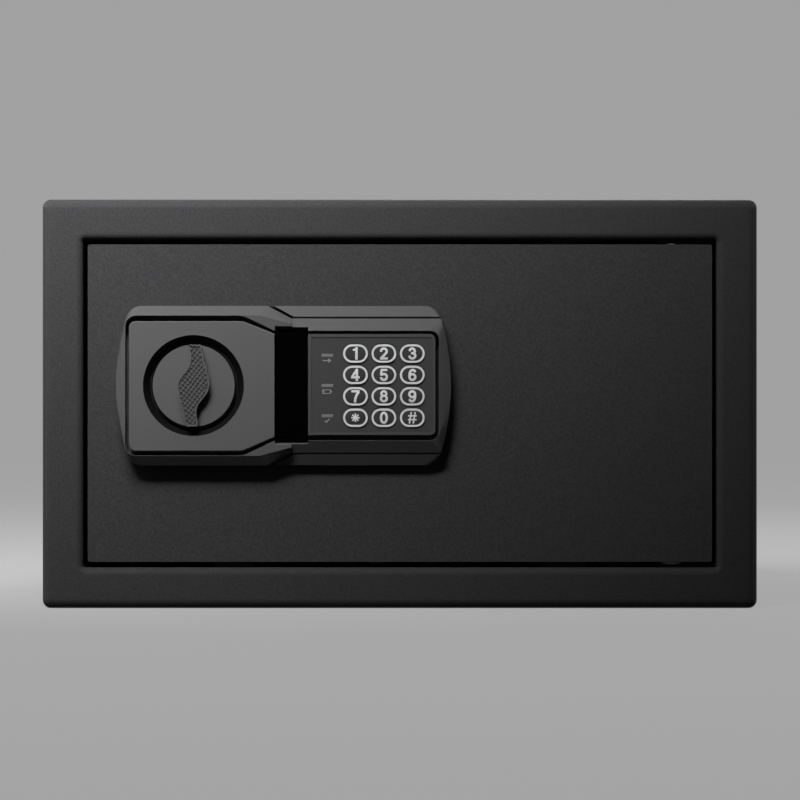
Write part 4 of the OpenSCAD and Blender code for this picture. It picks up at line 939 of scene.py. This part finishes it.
def screwTree():
    tree, sockets, start, end = shapeTree("crossHeadScrews", {
        "Places": "Object", "Recess Long": "Float", "Recess Wide": "Float", "Recess Deep": "Float",
        "Seed": "Int", "Material": "Material"})
    places = add(tree, "GeometryNodeObjectInfo", {"transform_space": "ORIGINAL"})
    deep = maths(tree, "MULTIPLY", _1=2.0)
    lengthwise = add(tree, "ShaderNodeCombineXYZ")
    crosswise = add(tree, "ShaderNodeCombineXYZ")
    barA = add(tree, "GeometryNodeMeshCube")
    barB = add(tree, "GeometryNodeMeshCube")
    cut = add(tree, "GeometryNodeMeshBoolean", {"operation": "DIFFERENCE", "solver": "EXACT"})
    angle = add(tree, "FunctionNodeRandomValue", {"data_type": "FLOAT"})
    angle.inputs[3].default_value = 2 * math.pi
    turn = add(tree, "ShaderNodeCombineXYZ")
    place = add(tree, "GeometryNodeInstanceOnPoints")
    join(tree, (start, "Places", places, "Object"), (start, "Recess Deep", deep, 0),
         (start, "Recess Long", lengthwise, "X"), (deep, 0, lengthwise, "Y"),
         (start, "Recess Wide", lengthwise, "Z"), (start, "Recess Wide", crosswise, "X"),
         (deep, 0, crosswise, "Y"), (start, "Recess Long", crosswise, "Z"), (lengthwise, 0, barA, "Size"),
         (crosswise, 0, barB, "Size"), (start, "Geometry", cut, "Mesh 1"), (barB, "Mesh", cut, "Mesh 2"),
         (barA, "Mesh", cut, "Mesh 2"), (places, "Geometry", place, "Points"),
         (cut, "Mesh", place, "Instance"), (start, "Seed", angle, "Seed"), (angle, 1, turn, "Y"),
         (turn, 0, place, "Rotation"))
    endTree(tree, start, place, end)
    return tree, sockets


def coverScrews():
    s = screwSizes
    low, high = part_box("cover_screws")
    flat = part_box("inner_cover")[1].y   # the cover's rear face, which the heads sit on
    rise = high.y - flat
    headR, shankR = s["headRadius"], s["shankRadius"]
    head = bmesh.new()
    profile = [(shankR, low.y - flat), (shankR, -s["skin"]), (headR, -s["skin"])]
    profile += [(headR * wide, rise * tall) for wide, tall in s["crown"]]
    angles = [2 * math.pi * k / s["steps"] for k in range(s["steps"])]
    loops = [[Vector((r * math.cos(a), y, r * math.sin(a))) for a in angles] for r, y in profile]
    loopStack(head, loops)
    bmesh.ops.translate(head, verts=head.verts, vec=(0, -rise, 0))   # the recess is cut about the head's top
    screws = newPiece("coverScrews", head, zincSteel, 40, even=False)
    spots = bmesh.new()
    for x in (low.x + headR, (low.x + high.x) / 2, high.x - headR):
        for z in (low.z + headR, high.z - headR):
            spots.verts.new((x, high.y, z))
    places = linked("screwPlaces", bpy.data.meshes.new("screwPlaces"))
    spots.to_mesh(places.data)
    spots.free()
    grow(screws, "screws", *screwTree(), {
        "Places": places, "Recess Long": s["recessLong"], "Recess Wide": s["recessWide"],
        "Recess Deep": s["recessDeep"], "Seed": s["seed"], "Material": zincSteel})
    bpy.data.objects.remove(places)
    screws.data.set_sharp_from_angle(angle=math.radians(s["smoothAngle"]))
    seat(screws, "cover_screws")


coverScrews()
print("screws made")


# Battery box, cells and reset button

batterySizes = {"edge": 0.0003, "cellEdge": 0.0004, "contactEdge": 0.0, "buttonEdge": 0.0005,
                "leadEdge": 0.0, "cellEnd": 0.9, "leadSplitX": 0.007, "leadSplitZ": 0.0005}
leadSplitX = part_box("cable_grommet")[0].x + batterySizes["leadSplitX"]
leadSplitZ = lockZ + batterySizes["leadSplitZ"]


def cellPaint(face):
    # Bare steel at the ends, and the sleeve between them
    return 1 if abs(face.normal.x) > batterySizes["cellEnd"] else 0


def leadPaint(face):
    # One sleeve colour for each lead, told apart by where it runs
    centre = face.calc_center_median()
    return 0 if centre.x < leadSplitX else 1 if centre.z < leadSplitZ else 2


softCopies(batterySizes, (
    ("battery_box", "batteryBox", batteryPlastic, "housing_plastic", "edge"),
    ("battery_cells", "batteryCells", [cellSleeve, zincSteel], "cell", "cellEdge", {"paint": cellPaint}),
    ("battery_contacts", "batteryContacts", *steel, "contactEdge"),
    ("battery_lid", "batteryLid", batteryPlastic, "housing_plastic", "edge"),
    ("reset_switch", "resetSwitch", batteryPlastic, "housing_plastic", "edge"),
    ("reset_button", "resetButton", redPlastic, "red_plastic", "buttonEdge", {"segments": 3}),
    ("cable_grommet", "cableGrommet", blackRubber, "grommet_rubber", "edge"),
    ("wiring_leads", "wiringLeads", [redSleeve, blackSleeve, greySleeve], "wire", "leadEdge",
     {"smoothAngle": 80, "paint": leadPaint}),
))
print("battery and wiring made")


# Boltwork and emergency lock

workSizes = {"boltEdge": 0.0004, "edge": 0.0002, "clipEdge": 0.0001, "boardEdge": 0.0}
boltShape = {"segments": 3, "angle": 40}
softCopies(workSizes, (
    ("bolt_upper", "upperBolt", turnedSteel, "bolt_steel", "boltEdge", boltShape),
    ("bolt_lower", "lowerBolt", turnedSteel, "bolt_steel", "boltEdge", boltShape),
    ("bolt_carriage", "boltCarriage", *steel, "edge"),
    ("guide_studs", "guideStuds", *steel, "edge"),
    ("knob_spindle", "knobSpindle", *steel, "edge"),
    ("drive_cam", "driveCam", *steel, "edge"),
    ("cam_clip", "camClip", *steel, "clipEdge"),
    ("spindle_bush", "spindleBush", turnedBrass, "brass", "edge"),
    ("solenoid_frame", "solenoidFrame", *steel, "edge"),
    ("solenoid_coil", "solenoidCoil", coilWire, "coil", "edge"),
    ("solenoid_plunger", "solenoidPlunger", plungerSteel, "steel", "edge"),
    ("plate_screws", "plateScrews", *steel, "edge"),
    ("override_lock_body", "lockBarrel", *hardSteel, "edge"),
    ("override_lock_nut", "lockNut", *hardSteel, "edge"),
    ("override_plug", "lockPlug", *hardSteel, "edge"),
    ("override_cam", "lockCam", *steel, "edge"),
    ("keypad_board", "keypadBoard", boardGreen, "circuit_board", "boardEdge"),
    ("key_mat", "keyMat", greySilicone, "silicone", "edge"),
))
dress("plunger_spring", zincSteel)
print("boltwork made")


# Studio

studioSizes = {"backdropLight": 0.36, "ambient": 0.006, "floorHalf": 9.0, "lens": 200, "sensor": 36,
               "sightWide": 0.4808, "cameraX": 0.00015, "cameraZ": 0.1253, "sightLong": 30}
studioPaints = {"base": grey(0.1), "thrownBack": grey(0.02), "dark": grey(0.055), "light": grey(0.06)}
frontLamp = {"place": (-0.38, -0.78, 1.1), "target": (-0.352, -0.185, 0.812), "angle": 71.5, "radius": 0.42,
             "power": 607}
softLamps = {   # place, target, width, height and power
    "leftFrontLight": ((-1.2, -0.45, 0.35), (-0.15, -0.185, 0.15), 0.8, 0.8, 1.8),
    "topFrontLight": ((-0.6, -0.45, 0.95), (-0.1, -0.185, 0.12), 0.8, 0.8, 3.2),
    "backLight": ((0.5, 1.5, 1.2), (0.0, 0.1, 0.1), 1.2, 0.8, 16),
    "leftLight": ((-1.3, 0.25, 0.8), (0.0, 0.05, 0.12), 0.8, 0.6, 8),
    "rightLight": ((1.3, 0.25, 0.8), (0.0, 0.05, 0.12), 0.8, 0.6, 8),
}


def hang(lamp, place, target, power):
    lamp.energy = power
    holder = linked(lamp.name, lamp)
    holder.location = place
    holder.rotation_euler = (Vector(target) - holder.location).to_track_quat("-Z", "Y").to_euler()
    holder.visible_camera = False
    return holder


def softLight(name, place, target, width, height, power):
    lamp = bpy.data.lights.new(name, "AREA")
    lamp.shape = "RECTANGLE"
    lamp.size, lamp.size_y = width, height
    hang(lamp, place, target, power)


def conicLight(name, place, target, angle, radius, power):
    # A soft lamp that is brightest along its aim and fades to nothing at the rim of its cone
    lamp = bpy.data.lights.new(name, "SPOT")
    lamp.spot_size = math.radians(angle)
    lamp.spot_blend = 1.0
    lamp.shadow_soft_size = radius
    hang(lamp, place, target, power).visible_glossy = False   # seen flat across the black coat it would glare


def seenDirectly(tree):
    # 1 for what the camera, a gloss or a lens sees, and 0 for the light that reaches a surface
    path = add(tree, "ShaderNodeLightPath")
    first = maths(tree, "MAXIMUM")
    both = maths(tree, "MAXIMUM")
    join(tree, (path, "Is Camera Ray", first, 0), (path, "Is Glossy Ray", first, 1), (first, 0, both, 0),
         (path, "Is Transmission Ray", both, 1))
    return both


def studio():
    s, paints = studioSizes, studioPaints
    bm = bmesh.new()
    bmesh.ops.create_grid(bm, x_segments=1, y_segments=1, size=s["floorHalf"])
    material, tree, shader = newMaterial("studioPaint", paints["base"], 0.95, Specular_IOR_Level=0.0)
    grain = placeGroup(tree, fineGrain, Size=0.003, Patch_Size=0.4)
    seen = seenDirectly(tree)
    paper = add(tree, "ShaderNodeMix", {"data_type": "RGBA"})
    paper.inputs["A"].default_value = (*paints["thrownBack"], 1)   # the floor's light on the object
    shader.inputs["Emission Color"].default_value = (1, 1, 1, 1)
    light = maths(tree, "MULTIPLY", _1=s["backdropLight"])
    mottle = twoTone(tree, grain, "Mottle", paints["dark"], paints["light"])
    join(tree, (mottle, 0, paper, "B"), (seen, 0, paper, "Factor"), (paper, "Result", shader, "Base Color"),
         (seen, 0, light, 0), (light, 0, shader, "Emission Strength"))
    floor = newPiece("studioFloor", bm, material, even=False)
    world = bpy.data.worlds.new("studioWorld")
    bpy.context.scene.world = world
    world.use_nodes = True
    tree = world.node_tree
    background = tree.nodes["Background"]
    background.inputs[0].default_value = (1, 1, 1, 1)
    strength = spread(tree, seenDirectly(tree), 0, s["ambient"], s["backdropLight"], 0.0, 1.0)
    join(tree, (strength, 0, background, 1))
    conicLight("frontLight", **frontLamp)
    for name, values in softLamps.items():
        softLight(name, *values)
    camera = bpy.data.cameras.new("photoCamera")
    camera.lens = s["lens"]
    camera.clip_end = s["sightLong"]
    holder = linked("photoCamera", camera)
    away = s["sightWide"] * s["lens"] / s["sensor"]
    holder.location = (s["cameraX"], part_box("cabinet_wrap")[0].y - away, s["cameraZ"])
    holder.rotation_euler = (math.radians(90), 0, 0)
    bpy.context.scene.camera = holder
    bpy.context.scene.view_settings.view_transform = "Standard"


studio()
print("studio ready")
